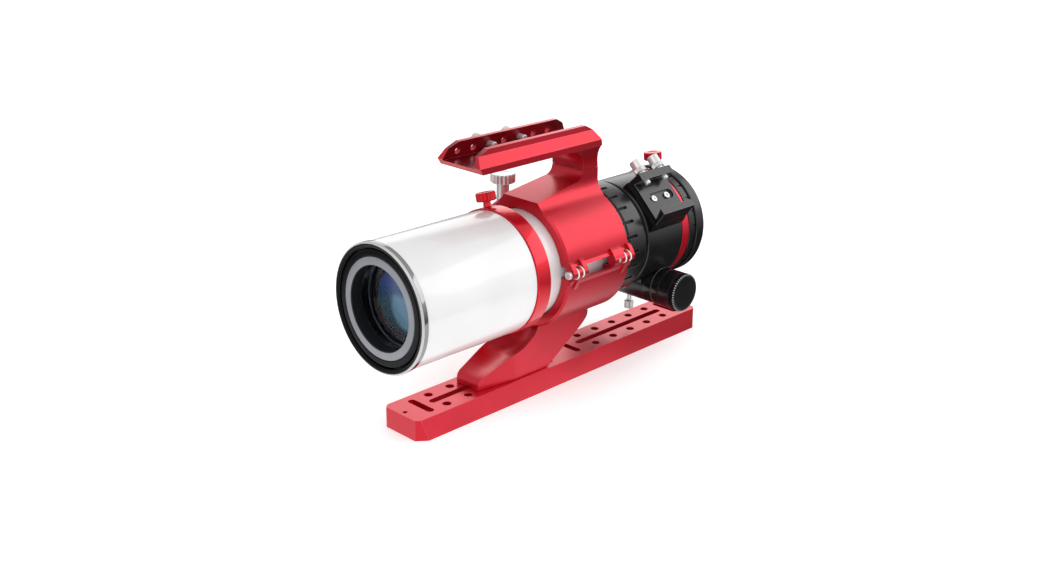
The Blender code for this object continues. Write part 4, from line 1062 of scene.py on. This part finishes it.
def focus_drive():
    for node in ("pinion_bearing_right", "reduction_gearbox"):
        low, high = span(node, 0)
        near, far = (low, high) if low > 0 else (high, low)
        step = 1.0 if far > near else -1.0
        groove = HOUSING_RADIUS - 0.5
        profile = [(HOUSING_RADIUS, near), (HOUSING_RADIUS, far - step * 7.6), (groove, far - step * 7.2)]
        profile += [(groove, far - step * 6.6), (HOUSING_RADIUS, far - step * 6.2)]
        profile += [(HOUSING_RADIUS, far), (2.8, far), (2.8, near)]
        part = turned(node, profile, PINION, ALONG_X, 96, 0.25)
        carve(part, [hole(BODY_RADIUS + 0.5, TUBE_AXIS, ALONG_Y, 60.0, 120.0, ROUND)])
        dress(part, node, "black_turned")
    right = [(0, 50.3), (2.8, 50.3), (2.8, 42.0), (14.9, 42.0), (15.6, 42.7), (15.6, 52.2), (15.65, 52.6)]
    right += [(15.65, 56.9), (14.9, 57.7), (14.2, 57.8), (13.9, 57.6), (0, 57.6)]
    wave = flutes(48, 0.9, 52.5, 57.75, 0.8)
    knob = spun("coarse_knob_right", "black", right, PINION, ALONG_X, 288, 0.1, wave)
    # Painted highlight: lighter grey on the knob's inner face and on the rim of its outer end.
    paint(knob, "black_edge", lambda c: c.x < 42.7 or (c.x > 57.6 and knob_radius(c) > 14.2))
    # The crests of the teeth on the outer chamfer are painted bright grey, as bare cut metal and as a painted
    # highlight.
    paint(knob, "edge", lambda c: 55.0 < c.x < 57.75 and knob_radius(c) > 14.9 and on_crest(c, 48))
    left = [(0, -50.3), (2.8, -50.3), (2.8, -42.0), (14.9, -42.0), (15.65, -42.7), (15.65, -53.3)]
    left += [(14.9, -54.0), (2.6, -54.0), (2.6, -51.2), (0, -51.2)]
    wave = flutes(48, 0.75, -53.2, -48.6, 0.8)
    spun("coarse_knob_left", "black", left, PINION, ALONG_X, 288, 0.2, wave)
    fine = [(0, -51.5), (2.2, -51.5), (2.2, -54.4), (8.9, -54.4), (9.5, -54.9), (9.5, -61.9), (8.9, -62.5)]
    fine += [(0, -62.5)]
    spun("fine_knob", "black", fine, PINION, ALONG_X, 240, 0.2, flutes(40, 0.5, -61.95, -55.0, 0.8))


def gear_points(teeth, pitch, module):
    root = pitch - 1.15 * module
    tip = pitch + 0.85 * module
    points = []
    for i in range(teeth):
        centre = 2.0 * pi * (i + 0.5) / teeth
        for radius, offset in ((root, -0.62), (tip, -0.26), (tip, 0.26), (root, 0.62)):
            angle = centre + offset * pi / teeth
            points.append((PINION_Y + radius * cos(angle), PINION_Z + radius * sin(angle)))
    return points


def pinion_and_rack():
    teeth, pitch = 12, 4.8
    module = 2.0 * pitch / teeth
    shaft = prism("pinion", gear_points(teeth, pitch, module), -4.0, 4.0, in_yz)
    fuse(shaft, [hole(2.5, PINION, ALONG_X, -50.0, 50.0)])
    dress(shaft, "pinion_shaft", "steel", bevel=0.1)
    frame["nodes"]["rack"].material_slots[0].material = LOOKS["steel"]


def focus_lock_screw():
    profile = [(0, 29.5), (3.4, 29.5), (3.85, 29.9), (3.9, 30.1), (3.9, 35.7), (3.85, 35.9), (3.4, 36.3)]
    profile += [(2.4, 36.3), (2.0, 37.2), (2.0, 48.0), (0, 48.0)]
    wave = flutes(30, 0.25, 30.0, 35.8)
    spun("focus_lock_screw", "steel", profile, (0.0, PINION_Y, 0.0), ALONG_Z, 180, 0.15, wave)


def rear_rings():
    ring("drawtube", 35.0, 31.0, "chrome")
    low, high = span("camera_rotator_ring", 1)
    outer = half("camera_rotator_ring", 0)
    profile = [(outer - 0.4, low), (outer, low + 0.4), (outer, high - 0.3), (outer - 0.3, high)]
    grip = turned("rotator", profile + [(35.3, high), (35.3, low)], ease=0.15)
    slot = [(v, low + 5.0 + u) for u, v in slot_outline(2.9, 0.7, (0.0, 0.0), False, 5)]
    turns = [radians(360.0 * i / ROTATOR_SLOTS + 7.5) for i in range(ROTATOR_SLOTS)]
    carve(grip, radial_cutters(slot, turns, outer - 0.8, 3.0))
    dress(grip, "camera_rotator_ring", "black")
    profile = [(35.3, 118.3), (44.7, 118.3), (45.3, 118.9), (45.3, 126.4), (43.2, 129.9), (27.6, 129.9)]
    profile += [(27.0, 129.3), (27.0, 121.0), (35.3, 121.0)]
    back = turned("adapter", profile, ease=0.35)
    carve(back, [hole(2.3, *JOINTS["rotator_lock_turn"], 37.5, 52.0)])
    dress(back, "rear_adapter_ring", "black")


# --- Studio and camera ---

CAMERA_AZIMUTH = radians(44.853)
CAMERA_ELEVATION = radians(20.439)
CAMERA_ROLL = radians(0.451)
CAMERA_LENS = 44.202
CAMERA_DISTANCE = 998.06
CAMERA_AIM = (0.0, 0.0, 60.0)
CAMERA_SHIFT = (28.17, -13.93)
CARD_END = 170.0
CARD_FULL = 10.0
CARD_GLOW = 1.05
SKY_BELOW = 0.05
SKY_BACK = 0.6
SKY_FRONT = 0.95
SKY_BRIGHT_SIDE = (0.75, -0.5, 0.43)
WHITE_LIGHT = (1.0, 1.0, 1.0, 1.0)


def camera():
    a, e, r = CAMERA_AZIMUTH, CAMERA_ELEVATION, CAMERA_ROLL
    across = Vector((cos(a), sin(a), 0.0))
    back = Vector((sin(a) * cos(e), -cos(a) * cos(e), sin(e)))
    up = back.cross(across)
    right = across * cos(r) + up * sin(r)
    top = up * cos(r) - across * sin(r)
    data = bpy.data.cameras.new("camera")
    data.lens = CAMERA_LENS
    data.sensor_width = 36.0
    data.clip_start = 0.05
    data.clip_end = 50.0
    obj = new_object("camera", data)
    place = Vector(CAMERA_AIM) + back * CAMERA_DISTANCE - right * CAMERA_SHIFT[0] - top * CAMERA_SHIFT[1]
    obj.matrix_world = Matrix.Translation(place * MM) @ Matrix((right, top, back)).transposed().to_4x4()
    bpy.context.scene.camera = obj


def softbox(name, place, size, power, aim=(0.0, 0.0, 0.1)):
    data = bpy.data.lights.new(name, "AREA")
    data.shape = "RECTANGLE"
    data.size, data.size_y = size
    data.energy = power
    obj = new_object(name, data)
    obj.location = place
    obj.rotation_euler = (Vector(place) - Vector(aim)).to_track_quat("Z", "Y").to_euler()
    obj.visible_camera = False


def glow_card():
    """A pale card just under the floor that only reflections see; it fades out toward the rear."""
    bm = bmesh.new()
    corners = [(-260.0, -480.0), (300.0, -480.0), (300.0, CARD_END), (-260.0, CARD_END)]
    bm.faces.new([bm.verts.new((x, y, -1.0)) for x, y in corners])
    card = object_from("glow_card", bm)
    glow, tree, shader = empty_look("card_glow")
    set_inputs(shader, {"Base Color": (0.0, 0.0, 0.0, 1.0), "Emission Color": WHITE_LIGHT})
    split = add(tree, "SeparateXYZ", [(add(tree, "TexCoord"), "Object", "Vector")])
    limits = {"From_Min": CARD_END * MM, "From_Max": CARD_FULL * MM, "To_Max": CARD_GLOW}
    fade = add(tree, "MapRange", [(split, "Y", "Value")], **limits)
    link(tree, fade, "Result", shader, "Emission Strength")
    card.data.materials.append(glow)
    for kind in ("camera", "diffuse", "shadow", "transmission"):
        setattr(card, "visible_" + kind, False)


def studio():
    glow_card()
    bm = bmesh.new()
    bmesh.ops.create_grid(bm, x_segments=1, y_segments=1, size=9000.0)
    floor = object_from("floor", bm)
    white, _, shader = empty_look("studio_white")
    set_inputs(shader, {"Base Color": (0.93, 0.93, 0.93, 1.0), "Roughness": 0.9})
    set_inputs(shader, {"Emission Color": WHITE_LIGHT, "Emission Strength": 0.3})
    floor.data.materials.append(white)
    floor.visible_glossy = False
    world = bpy.data.worlds.new("studio")
    world.use_nodes = True
    tree = world.node_tree
    coords = add(tree, "TexCoord")
    facing = add(tree, "VectorMath", [(coords, "Generated", 0)], "DOT_PRODUCT")
    facing.inputs[1].default_value = Vector(SKY_BRIGHT_SIDE).normalized()
    limits = {"From_Min": -0.8, "From_Max": 0.8, "To_Min": SKY_BACK, "To_Max": SKY_FRONT}
    across = add(tree, "MapRange", [(facing, "Value", "Value")], **limits)
    split = add(tree, "SeparateXYZ", [(coords, "Generated", "Vector")])
    limits = {"From_Min": -0.35, "From_Max": 0.1, "To_Min": SKY_BELOW}
    horizon = add(tree, "MapRange", [(split, "Z", "Value")], **limits)
    strength = add(tree, "Math", [(across, "Result", 0), (horizon, "Result", 1)], "MULTIPLY")
    background = tree.nodes["Background"]
    link(tree, strength, "Value", background, "Strength")
    background.inputs["Color"].default_value = WHITE_LIGHT
    bpy.context.scene.world = world
    softbox("back_right_softbox", (0.65, 0.95, 0.75), (1.3, 0.8), 5.2)
    softbox("back_left_softbox", (-1.0, 1.0, 0.62), (1.3, 0.75), 3.6)
    softbox("front_softbox", (0.2, -1.4, 1.1), (1.0, 0.8), 2.3)
    bpy.context.scene.view_settings.view_transform = "Standard"


def main():
    camera()
    dovetail_plate()
    foot_bolts()
    lower_cradle()
    upper_cradle()
    handle()
    handle_bolts()
    saddle_screws()
    hinge_hardware()
    clamp_knob()
    felts()
    optical_tube()
    dew_shield()
    lock_screw("dew_lock_screw", "dew_lock_turn", 47.7, 42.8)
    lock_screw("rotator_lock_screw", "rotator_lock_turn", 45.3, 38.0)
    rotation_ring()
    focuser_body()
    stripe_ring()
    finder_shoe()
    finder_thumbscrews()
    focus_drive()
    pinion_and_rack()
    focus_lock_screw()
    rear_rings()
    studio()


main()
